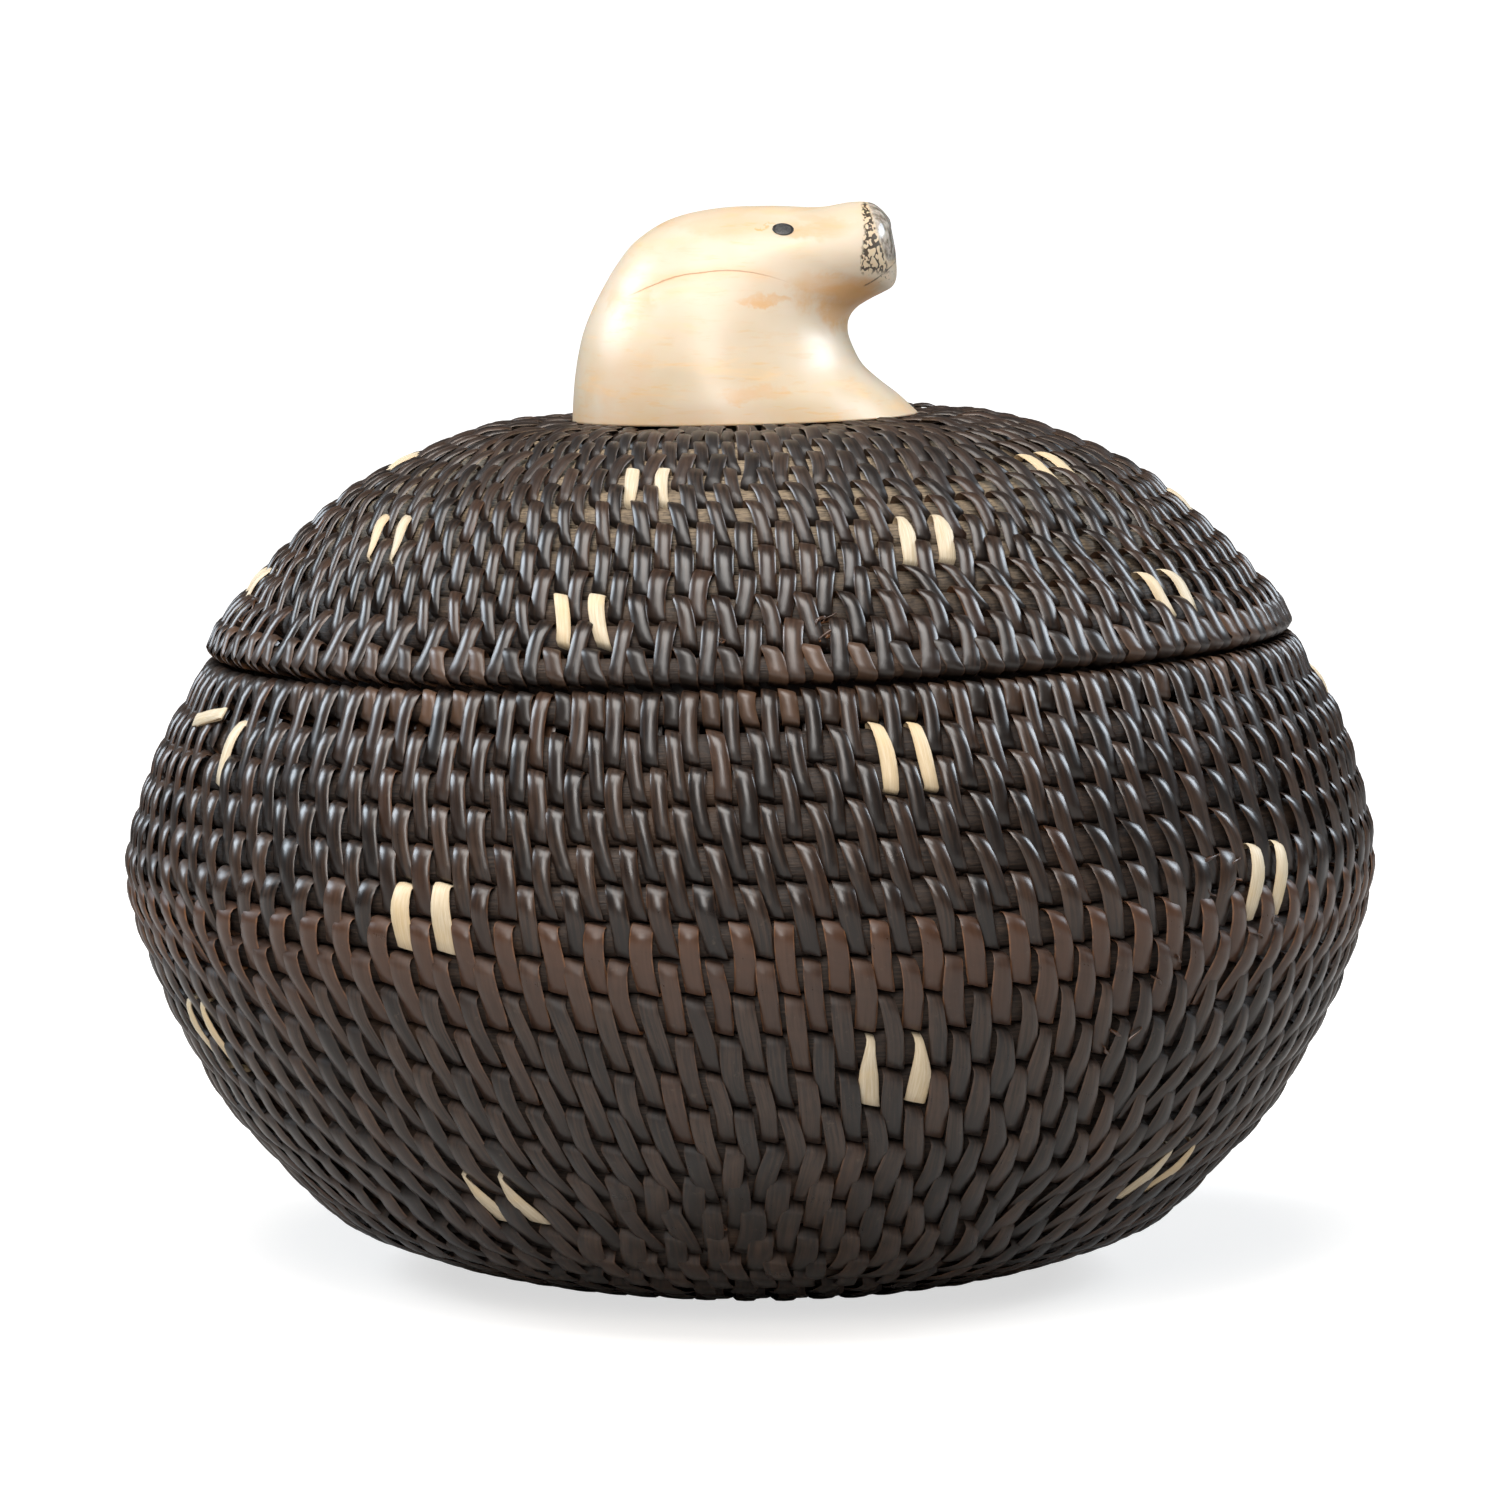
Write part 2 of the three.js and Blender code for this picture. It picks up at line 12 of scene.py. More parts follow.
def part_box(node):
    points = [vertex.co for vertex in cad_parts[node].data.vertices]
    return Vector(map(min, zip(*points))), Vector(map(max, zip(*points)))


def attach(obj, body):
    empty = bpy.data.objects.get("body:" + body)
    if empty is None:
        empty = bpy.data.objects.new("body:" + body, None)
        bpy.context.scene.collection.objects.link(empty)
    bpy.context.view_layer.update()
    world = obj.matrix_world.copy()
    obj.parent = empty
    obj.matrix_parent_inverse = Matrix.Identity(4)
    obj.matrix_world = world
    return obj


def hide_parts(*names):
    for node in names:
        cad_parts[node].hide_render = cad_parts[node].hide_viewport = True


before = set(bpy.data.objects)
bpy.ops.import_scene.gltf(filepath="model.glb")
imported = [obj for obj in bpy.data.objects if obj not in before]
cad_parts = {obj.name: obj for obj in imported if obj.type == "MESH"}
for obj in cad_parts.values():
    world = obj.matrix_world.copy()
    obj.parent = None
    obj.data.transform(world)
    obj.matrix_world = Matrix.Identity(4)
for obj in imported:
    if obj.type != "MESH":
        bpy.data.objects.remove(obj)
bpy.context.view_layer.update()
mm = 0.001
fullTurn = 2 * math.pi
splineSteps = 24
mergeBelow = 1e-4


# 0 at low, the amount at high, and smooth between
def smoothstep(value, low, high, amount=1):
    share = np.clip((np.asarray(value, float) - low) / (high - low), 0, 1)
    return share * share * (3 - 2 * share) * amount


# Values at places, from a table of places and their values
def tableAt(table, places):
    return np.interp(places, *zip(*table))


# The columns of a table at fractions of its rows
def columnsAt(rows, at):
    return [np.interp(at, np.arange(len(rows)), column) for column in np.transpose(rows)]


# Points at x, y and z as one array, moved by a matrix
def moved(matrix, x, y, z):
    flat = np.stack(np.broadcast_arrays(x, y, z, 1.0), axis=-1)
    return (flat @ np.array(matrix).T)[..., :3]


# The same from a radius and an angle instead of x and y
def turnedTo(matrix, r, angle, z):
    return moved(matrix, r * np.cos(angle), r * np.sin(angle), z)


# The two walls that everything lies on

bodyForm = {
    "bellyRadius": 50,
    "wallHeight": 47.7,
    "footRadius": 20,
    "startRadius": 14.55,
    "mouthTiltDegrees": 1.5,
    "leanShares": (0.5, 0.95),  # the wall leans from and up to these shares of its height
    # outline of the outside, as shares of the belly radius and the wall height
    "outlineShares": [
        (0.508, 0.027), (0.632, 0.073), (0.694, 0.115), (0.77, 0.197), (0.842, 0.281), (0.89, 0.365),
        (0.932, 0.449), (0.964, 0.532), (0.99, 0.616), (1, 0.7), (0.984, 0.784), (0.946, 0.904), (0.894, 1),
    ],
    # distance along the outline after a number of rounds of rod
    "distancesAt": [(0, 0), (7.75, 24.3), (14.75, 47.55), (21.75, 69.2), (22.75, 72.3)],
    "lastRound": 21.75,
    "bulgesAt": 1,  # a stitch bulges near its end at the rim, and -1 near its other end
    "gapShare": 0.6,  # where a stitch starts between two stitches of the round before
    # at distances along the outline: strap widths as shares of their spacing, how full the straps' bulges
    # are, and how many straps there are in a round
    "widthsAt": [(0, 0.66), (12, 0.58), (30, 0.51), (44, 0.44)],
    "archesAt": [(30, 0.3), (50, 1)],
    "stitchesAt": [
        (0, 36), (2.5, 37), (11, 49), (17.6, 60), (24, 67), (30.5, 80), (34, 86),
        (50.7, 86), (54, 88), (57, 92), (61, 95), (75, 95),
    ],
}
lidForm = {
    "setIn": 2.8,
    "rise": 14.25,
    "startRadius": 12.15,
    "outlineShares": [
        (0.41, 1), (0.48, 0.993), (0.544, 0.963), (0.647, 0.843), (0.747, 0.696), (0.807, 0.561),
        (0.862, 0.42), (0.914, 0.275), (0.957, 0.138), (1, 0),
    ],
    "distancesAt": [(0, 0), (13.75, 34.5), (14.75, 37.1)],
    "lastRound": 13.75,
    "bulgesAt": -1,
    "gapShare": 0.5,
    "widthsAt": [(0, 0.5), (10, 0.45), (20, 0.42)],
    "archesAt": [(12, 0.35), (24, 1)],
    "stitchesAt": [
        (0, 42), (3, 48), (10, 57), (17, 66), (25.5, 70), (29.5, 76), (32, 79), (34.5, 80), (40, 80),
    ],
    "loose": (3.2, 12, 0.42),  # stitches between these distances stand up by as much as this
}
coil = {
    "wallThickness": 2.9,
    "strapThickness": 0.36,
    "rimRodRadius": 1.35,
    "clearance": 0.3,
    "rodGap": 0.01,
    "rodSink": 0.42,  # the rods lie this much below the straps
    "sinkFrom": (6, 30),  # but less near the start of a wall
    "startReach": 0.5,  # how far the first round reaches towards the starter
    "startTurn": 0.1,
    "leastHalfWidth": 0.12,  # of the rod's thin start
    "fullHalfWidth": 0.8,
    "rodTapers": (0.02, 0.99),  # the rod thins at its ends, from these shares of its length
    "endShare": 0.1,
    "startSink": 0.3,
    "rodStepsPerRound": 96,
    "rodSides": 12,
    "edgeRodSteps": 180,
}


def splinePoints(points, perSpan=splineSteps):
    points = np.array(points, float)
    last = len(points) - 1
    found = []
    for i in range(last):
        before, here, there, after = points[[max(i - 1, 0), i, i + 1, min(i + 2, last)]]
        slopeHere = (there - before) / 2
        slopeThere = (after - here) / 2
        for t in np.arange(perSpan) / perSpan:
            cubed = (2 * here - 2 * there + slopeHere + slopeThere) * t**3
            squared = (3 * there - 3 * here - 2 * slopeHere - slopeThere) * t**2
            found.append(cubed + squared + slopeHere * t + here)
    return [*found, points[last]]


# A wall is its outline, turned round the basket's axis.
# side is 1 where outside lies to the right of the outline, and -1 where it lies to the left.
class Wall:
    def __init__(self, outline, side, form, lean=lambda x, z: 0 * x):
        outline = np.array(outline)
        steps = np.linalg.norm(np.diff(outline, axis=0), axis=1)
        outline = outline[np.append(True, steps > 1e-9)]
        tangent = np.gradient(outline, axis=0)
        tangent /= np.linalg.norm(tangent, axis=1)[:, None]
        reach = 8  # the outline goes on a little past both ends
        ends = outline[0] - tangent[0] * reach, outline[-1] + tangent[-1] * reach
        self.outline = np.vstack([ends[0], outline, ends[1]])
        self.tangent = np.vstack([tangent[0], tangent, tangent[-1]])
        steps = np.linalg.norm(np.diff(self.outline, axis=0), axis=1)
        self.along = np.append(0, np.cumsum(steps)) - reach
        self.length = self.along[-2]
        self.side, self.form, self.lean = side, form, lean
        self.matrix = Matrix.Identity(4)
        self.edgeOutward = np.array([tangent[-1][1], -tangent[-1][0]]) * side  # out of the wall at its edge

    def radius(self, distance):
        return np.interp(distance, self.along, self.outline[:, 0])

    def distanceOf(self, rounds):
        return tableAt(self.form["distancesAt"], rounds)

    def stitches(self, rounds):
        return tableAt(self.form["stitchesAt"], self.distanceOf(rounds))

    # Points at distances along the wall and angles round it, raised above the outside
    def place(self, distance, angle, raised):
        tangentR, tangentZ = [np.interp(distance, self.along, self.tangent[:, k]) for k in range(2)]
        size = np.hypot(tangentR, tangentZ)
        r = self.radius(distance) + tangentZ / size * self.side * raised
        z = np.interp(distance, self.along, self.outline[:, 1]) - tangentR / size * self.side * raised
        x = r * np.cos(angle)
        return moved(self.matrix, x, r * np.sin(angle), z + self.lean(x, z))


tilt = math.radians(bodyForm["mouthTiltDegrees"])


def bodyLean(x, z):
    low, high = [share * bodyForm["wallHeight"] for share in bodyForm["leanShares"]]
    return x * math.tan(tilt) * smoothstep(z, low, high)


# Middle of the wrapped rod that follows a wall's edge: radius and height
def rimRodPlace(wall):
    ahead = wall.tangent[-1] * (coil["clearance"] + coil["rimRodRadius"])
    return wall.outline[-2] - wall.edgeOutward * coil["wallThickness"] / 2 + ahead


def outlineThrough(first, form, radius, height):
    return splinePoints([first] + [(r * radius, z * height) for r, z in form["outlineShares"]])


footEdge = (bodyForm["footRadius"], 0)
bodyOutline = outlineThrough(footEdge, bodyForm, bodyForm["bellyRadius"], bodyForm["wallHeight"])
bodyWall = Wall([(bodyForm["startRadius"], 0)] + bodyOutline, 1, bodyForm, bodyLean)

lidRadius = bodyForm["outlineShares"][-1][0] * bodyForm["bellyRadius"] - lidForm["setIn"]
lidTop = (lidForm["startRadius"], lidForm["rise"])
lidWall = Wall(outlineThrough(lidTop, lidForm, lidRadius, lidForm["rise"]), -1, lidForm)
lidRod = rimRodPlace(lidWall)
lidLift = Matrix.Translation((0, 0, 2 * coil["rimRodRadius"] + coil["clearance"] - lidRod[1]))
lidMatrix = Matrix.Translation((0, 0, rimRodPlace(bodyWall)[1])) @ Matrix.Rotation(-tilt, 4, "Y") @ lidLift
lidWall.matrix = lidMatrix


# Materials

# A value on its way through a material. Sums and products of wires add Math nodes.
class Wire:
    def __init__(self, finish, socket):
        self.finish, self.socket = finish, socket

    def math(self, operation, *values):
        return self.finish.add("Math", {"operation": operation}, dict(enumerate(values)))

    def __rsub__(self, other):
        return self.math("SUBTRACT", other, self)

    # 0 at low, 1 at high, and smooth between
    def step(self, low, high):
        inputs = {"Value": self, "From Min": low, "From Max": high}
        return self.finish.add("MapRange", {"interpolation_type": "SMOOTHSTEP"}, inputs)


wireMaths = {
    "__add__": "ADD",
    "__radd__": "ADD",
    "__sub__": "SUBTRACT",
    "__mul__": "MULTIPLY",
    "__rmul__": "MULTIPLY",
    "__truediv__": "DIVIDE",
    "__pow__": "POWER",
    "size": "ABSOLUTE",
    "least": "MINIMUM",
    "most": "MAXIMUM",
}
for name, operation in wireMaths.items():
    setattr(Wire, name, lambda self, *others, operation=operation: self.math(operation, self, *others))


class Finish:
    def __init__(self, name, **constants):
        self.material = bpy.data.materials.new(name)
        self.material.use_nodes = True
        self.tree = self.material.node_tree
        self.shader = self.tree.nodes["Principled BSDF"]
        for socket, value in constants.items():
            self.shader.inputs[socket.replace("_", " ")].default_value = value

    # Any shader node: its settings come first, then a value or a wire for each input
    def add(self, kind, settings=None, inputs=None, output=0):
        node = self.tree.nodes.new("ShaderNode" + kind)
        for name, value in (settings or {}).items():
            setattr(node, name, value)
        self.feed(node, inputs or {})
        return Wire(self, node.outputs[output])

    def feed(self, node, inputs):
        for key, value in inputs.items():
            if isinstance(value, Wire):
                self.tree.links.new(value.socket, node.inputs[key])
            else:
                node.inputs[key].default_value = value

    # Gives the shader what changes over the surface, and hands over the material
    def done(self, colour, roughness, **others):
        self.feed(self.shader, {"Base Color": colour, "Roughness": roughness, **others})
        return self.material

    def place(self):
        return self.add("TexCoord", output="Object")

    def parts(self, vector):
        node = self.add("SeparateXYZ", inputs={"Vector": vector}).socket.node
        return [Wire(self, socket) for socket in node.outputs]

    # Height above the ground in millimetres
    def height(self):
        return self.parts(self.place())[2] / mm

    # Places along and across a strap's loop
    def strapPlace(self):
        return self.parts(self.add("UVMap", {"uv_map": "UVMap"}))[:2]

    # 0 on the middle line of a strap's outside, 1 on its edges
    def strapSide(self, across):
        return (across * 6 - 2).size() * 0.5

    def attribute(self, name):
        return self.add("Attribute", {"attribute_name": name}, output="Fac")

    def vector(self, x, y, z):
        return self.add("CombineXYZ", inputs={0: x, 1: y, 2: z})

    def stretch(self, vector, *factors):
        return self.add("VectorMath", {"operation": "MULTIPLY"}, {0: vector, 1: factors})

    def noise(self, vector, scale, detail=3, roughness=0.6, distortion=0):
        inputs = {"Scale": scale, "Detail": detail, "Roughness": roughness, "Distortion": distortion}
        return self.add("TexNoise", inputs={"Vector": vector, **inputs})

    def mix(self, share, first, second):
        return self.add("Mix", {"data_type": "RGBA"}, {0: share, 6: first, 7: second}, output=2)

    def bump(self, height, distance, strength=1, **others):
        inputs = {"Height": height, "Distance": distance * mm, "Strength": strength, **others}
        return self.add("Bump", inputs=inputs, output="Normal")


# A colour from red, green and blue between 0 and 255
def shade(*parts):
    parts = [part / 255 for part in parts]
    return (*[part / 12.92 if part < 0.04045 else ((part + 0.055) / 1.055) ** 2.4 for part in parts], 1)


strapColours = {
    "dark": shade(21, 15, 12),
    "light": shade(66, 49, 38),
    "brown": shade(80, 53, 37),
    "edge": shade(138, 92, 56),
    "dust": shade(96, 82, 68),
}


# Split baleen: grain along the strap, worn brown edges, and a rougher lower end darkened with painted shade
def baleenFinish():
    finish = Finish("splitBaleen", IOR=1.54)
    along, across = finish.strapPlace()
    tone, brown = finish.attribute("tone"), finish.attribute("brown")
    grain = finish.noise(finish.vector(across * 11, along * 2, tone * 37), 1.4, 4)
    blotch = finish.noise(finish.vector(across * 1.2, along * 9, tone * 61), 1.3)
    fine = finish.noise(finish.place(), 1400)
    side = finish.strapSide(across)
    edge = side.step(0.62, 1) * blotch.step(0.3, 0.65)
    # painted shade: the colour gets darker towards each strap's lower end, where it dives under the next row;
    # that end is also rougher
    dullShadedEnd = 1 - along.step(0.14, 0.36)
    height = finish.height()
    worn = side.step(0.66, 1) * blotch.step(0.3, 0.6)
    dusty = height.step(59, 69)
    tip = along.step(0.48, 0.62) * (1 - height.step(30, 42))
    # tone from grain and blotches, lowered at the lower end by painted shade
    darkness = (tone * 0.45 + grain.step(0.3, 0.7) * 0.55 + blotch * 0.3 - 0.28 - dullShadedEnd * 0.2).step(0, 1)
    colour = finish.mix(darkness, strapColours["dark"], strapColours["light"])
    colour = finish.mix(brown * (0.55 + 0.6 * blotch), colour, strapColours["brown"])
    colour = finish.mix(edge * (0.14 + 0.8 * brown), colour, strapColours["edge"])
    colour = finish.mix(fine.step(0.62, 0.8) * 0.35, colour, strapColours["dust"])
    colour = finish.mix(worn * dusty * 0.7, colour, strapColours["dust"])
    return finish.done(colour, 0.2 + 0.12 * blotch + 0.08 * grain + 0.1 * dullShadedEnd + 0.12 * dusty + 0.35 * tip)


# The rod inside the coil: dusty, granular, with fibres along it
def rodFinish(name, fibresAlong):
    finish = Finish(name, IOR=1.45)
    place = finish.place()
    grit = finish.noise(place, 1900, 4, 0.65)
    lumps = finish.noise(place, 420)
    patches = finish.noise(place, 90, 2, 0.5)
    along, across = finish.strapPlace()
    fibres = finish.noise(finish.vector(along * fibresAlong, across * 54, 0), 1, 3, 0.65, 0.2)
    dusty = finish.height().step(52, 68)
    dark = finish.mix(dusty, shade(26, 19, 15), shade(52, 43, 34))
    light = finish.mix(dusty, shade(66, 52, 42), shade(160, 142, 117))
    colour = finish.mix((grit * 0.4 + fibres * 1.1 - 0.34 + dusty * 0.14).step(0.2, 0.7), dark, light)
    colour = finish.mix(patches.step(0.55, 0.75) * 0.4, colour, shade(92, 66, 44))
    bump = finish.bump(grit, 0.07, 0.7, Normal=finish.bump(lumps + fibres, 0.12, 0.7))
    return finish.done(colour, 0.5 + 0.3 * grit, Normal=bump)


# Brown shiny strips that wrap the rims
def wrapFinish():
    finish = Finish("rimWrap", IOR=1.54)
    along, across = finish.strapPlace()
    tone = finish.attribute("tone")
    grain = finish.noise(finish.vector(across * 14, along * 4, tone * 43), 1.5, 4, 0.6, 0.3)
    fine = finish.noise(finish.place(), 1500)
    patch = finish.noise(finish.place(), 60, 2, 0.5).step(0.42, 0.62)
    paleness = (tone * 0.5 + grain * 0.45 + patch * 0.35 - 0.35).step(0, 1)
    colour = finish.mix(paleness, shade(30, 23, 19), shade(98, 73, 56))
    colour = finish.mix(finish.strapSide(across).step(0.55, 1) * 0.35, colour, shade(112, 80, 56))
    return finish.done(colour, 0.28 + 0.14 * grain + 0.08 * fine, Normal=finish.bump(grain, 0.003, 0.5))


# Pale splints: creamy, with fine lengthwise fibres and brownish ends
def paleFinish():
    finish = Finish("paleSplint", IOR=1.5)
    along, across = finish.strapPlace()
    tone = finish.attribute("tone")
    fibres = finish.noise(finish.vector(across * 22, along * 3, tone * 51), 1.6, 4, 0.65, 0.2)
    stain = finish.noise(finish.place(), 260)
    colour = finish.mix(fibres.step(0.3, 0.75), shade(190, 172, 140), shade(214, 203, 182))
    colour = finish.mix(tone.step(0.55, 1) * 0.4, colour, shade(216, 184, 132))
    colour = finish.mix(stain.step(0.5, 0.78) * 0.55, colour, shade(214, 186, 136))
    colour = finish.mix(finish.strapSide(across).step(0.7, 1) * 0.35, colour, shade(176, 140, 96))
    return finish.done(colour, 0.42 + 0.2 * fibres, Normal=finish.bump(fibres, 0.04, 0.7))


def discFinish():
    finish = Finish("discIvory")
    mottle = finish.noise(finish.place(), 500, 4)
    colour = finish.mix(mottle, shade(214, 196, 160), shade(234, 222, 196))
    return finish.done(colour, 0.35 + 0.15 * mottle, Normal=finish.bump(mottle, 0.05, 0.5))


# Brown strips seen only from below and inside, with grain along them
def lacingFinish():
    finish = Finish("laceStrip", IOR=1.54)
    along, across = finish.strapPlace()
    grain = finish.noise(finish.vector(across * 18, along * 30, 0), 1.4, 4)
    patch = finish.noise(finish.place(), 180, 2, 0.5)
    paleness = (grain * 0.6 + patch * 0.7 - 0.25).step(0, 0.8)
    colour = finish.mix(paleness, shade(32, 24, 19), shade(104, 76, 56))
    return finish.done(colour, 0.24 + 0.2 * grain, Normal=finish.bump(grain, 0.008, 0.7))


# A sheet of baleen bent to a ring: fine level grain over soft clouds
def bandFinish():
    finish = Finish("bentBaleen", IOR=1.54)
    grain = finish.noise(finish.stretch(finish.place(), 0.06, 0.06, 1), 2400, 4)
    cloud = finish.noise(finish.stretch(finish.place(), 0.3, 0.3, 1), 160, 3, 0.55)
    paleness = (grain * 0.7 + cloud * 0.6 - 0.25).step(0.05, 0.8)
    colour = finish.mix(paleness, shade(27, 20, 16), shade(82, 62, 48))
    return finish.done(colour, 0.26 + 0.22 * cloud, Normal=finish.bump(grain, 0.01, 0.7))


finishes = {
    "lacing": lacingFinish(),
    "band": bandFinish(),
    "baleen": baleenFinish(),
    "rod": rodFinish("coreRod", 2400),
    "shortRod": rodFinish("edgeRod", 70),
    "wrap": wrapFinish(),
    "pale": paleFinish(),
    "disc": discFinish(),
}
print("stage: finishes mixed")


# Pieces

def addObject(name, data):
    made = bpy.data.objects.new(name, data)
    bpy.context.scene.collection.objects.link(made)
    return made


def gridOf(alongCount, acrossCount):
    bm = bmesh.new()
    bm.loops.layers.uv.new("UVMap")
    bmesh.ops.create_grid(bm, x_segments=alongCount, y_segments=acrossCount, size=0.5, calc_uvs=True)
    return bm


def meshFrom(bm, name):
    mesh = bpy.data.meshes.new(name)
    bm.to_mesh(mesh)
    bm.free()
    return mesh


def makeSmooth(mesh):
    mesh.polygons.foreach_set("use_smooth", [True] * len(mesh.polygons))


# A mesh becomes a piece that rides on a body, and may take the place of a node of the frame
def pieceFrom(mesh, name, material, body, slot, *replaced):
    mesh.name = name
    mesh.materials.clear()
    mesh.materials.append(material)
    makeSmooth(mesh)
    piece = addObject(name, mesh)
    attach(piece, body)
    if replaced:
        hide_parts(*replaced)


# A grid sheet rolled or bent into a shape: place gets each vertex's shares along and across, as arrays
def bentSheet(alongCount, acrossCount, place):
    bm = gridOf(alongCount, acrossCount)
    shares = np.array([vertex.co[:2] for vertex in bm.verts]) + 0.5
    for vertex, point in zip(bm.verts, place(shares[:, 0], shares[:, 1])):
        vertex.co = point
    bmesh.ops.remove_doubles(bm, verts=bm.verts, dist=mergeBelow)
    bmesh.ops.holes_fill(bm, edges=[edge for edge in bm.edges if edge.is_boundary], sides=0)
    bmesh.ops.recalc_face_normals(bm, faces=bm.faces)
    bmesh.ops.scale(bm, vec=(mm, mm, mm), verts=bm.verts)
    return meshFrom(bm, "sheet")


# The rod of a coil, from its thin start at the disc to its spliced end
def coilRod(wall, label, body, endRound):
    turns = endRound + 1
    startTaper, endTaper = coil["rodTapers"]
    endShare, startSink = coil["endShare"], coil["startSink"]

    def place(along, across):
        rounds = along * turns - 1
        low = wall.distanceOf(rounds) - coil["startReach"] * smoothstep(-rounds, 0, coil["startTurn"])
        high = wall.distanceOf(np.minimum(rounds + 1, wall.form["lastRound"]))
        end = np.minimum(smoothstep(along, 0, startTaper), 1 - smoothstep(along, endTaper, 1))
        half = np.maximum((high - low - coil["rodGap"]) / 2, coil["leastHalfWidth"])
        half = half * (endShare + (1 - endShare) * end)
        around = across * fullTurn
        distance = (low + high) / 2 + half * np.cos(around)
        sink = coil["rodSink"] * (startSink + (1 - startSink) * smoothstep(distance, *coil["sinkFrom"]))
        thick = (coil["wallThickness"] - 2 * coil["strapThickness"] - sink) / 2
        bulge = thick * np.sin(around) * np.minimum(1, half / coil["fullHalfWidth"])
        return wall.place(distance, rounds * fullTurn, bulge - (coil["wallThickness"] + sink) / 2)

    mesh = bentSheet(round(turns * coil["rodStepsPerRound"]), coil["rodSides"], place)
    pieceFrom(mesh, f"{label}_coil", finishes["rod"], body, "baleen", f"{label}_wall")


# The rod that follows the edge of a wall
def edgeRod(wall, edge, body):
    radius = coil["rimRodRadius"] - coil["strapThickness"]

    def place(along, across):
        around = across * fullTurn
        distance = wall.length + coil["clearance"] + coil["rimRodRadius"] + radius * np.cos(around)
        return wall.place(distance, along * fullTurn, radius * np.sin(around) - coil["wallThickness"] / 2)

    mesh = bentSheet(coil["edgeRodSteps"], coil["rodSides"], place)
    pieceFrom(mesh, f"{edge}_core", finishes["shortRod"], body, "wrapped_rim", f"{edge}_rod")


# A strap is a flat closed band. Its loop goes up outside (-1 to 1 along) and down inside (depth 0 to 1).
strap = {
    "loop": [
        (-1, 0.5), (-0.985, 0.34), (-0.92, 0.21), (-0.58, 0.125), (-0.18, 0.045), (0.12, -0.02),
        (0.38, -0.045), (0.64, -0.015), (0.84, 0.06), (0.96, 0.19), (1, 0.42),
        (0.8, 0.98), (0, 0.94), (-0.8, 0.98),
    ],
    "outsideDepth": 0.3,  # the loop is outside above this depth
    # places across the strap as shares of its width, with their heights as shares of its thickness
    "section": [(-0.5, -0.56), (-0.39, -0.07), (0, 0.07), (0.39, -0.07), (0.5, -0.56), (0, -1)],
    "sharpCorners": (0, 4),
    "flatFrom": (0.55, 0.95, 0.7),  # the outside gets flatter by 0.7 between these places near the ends
    "width": 1.8,
    "leastWidth": 1.1,
    "widths": [(-1, 0.94), (-0.6, 1), (0.4, 1), (1, 0.95)],  # along the strap, as shares of its width
    "tipFrom": -0.2,
    "slant": 0.24,  # a strap's end is higher at its left corner by this much for each mm of its width
}


def strapTemplate():
    counts = len(strap["loop"]), len(strap["section"])
    sharp = [{corner} for corner in strap["sharpCorners"]]
    bm = gridOf(*counts)
    shares = {}
    for vertex in bm.verts:
        along, across = [round((vertex.co[k] + 0.5) * counts[k]) % counts[k] for k in range(2)]
        turn, around = fullTurn * along / counts[0], fullTurn * across / counts[1]
        ring = 3 + math.cos(around)
        vertex.co = (ring * math.cos(turn), ring * math.sin(turn), math.sin(around))
        shares[vertex] = (along, across, 0)
    same = bmesh.ops.find_doubles(bm, verts=bm.verts, dist=mergeBelow)["targetmap"]
    bmesh.ops.weld_verts(bm, targetmap=same)
    for vertex in bm.verts:
        vertex.co = shares[vertex]
    for edge in bm.edges:
        edge.smooth = {shares[vertex][1] for vertex in edge.verts} not in sharp
    return meshFrom(bm, "strapTemplate")


template = strapTemplate()


# Many straps as one mesh. The template is arrayed, so that z tells the number of the strap.
def arrayedStraps(count):
    holder = addObject("strapHolder", template)
    array = holder.modifiers.new("copies", "ARRAY")
    array.use_relative_offset = False
    array.use_constant_offset = True
    array.constant_offset_displace = (0, 0, 1)
    array.count = count
    mesh = bpy.data.meshes.new_from_object(holder.evaluated_get(bpy.context.evaluated_depsgraph_get()))
    bpy.data.objects.remove(holder)
    return mesh


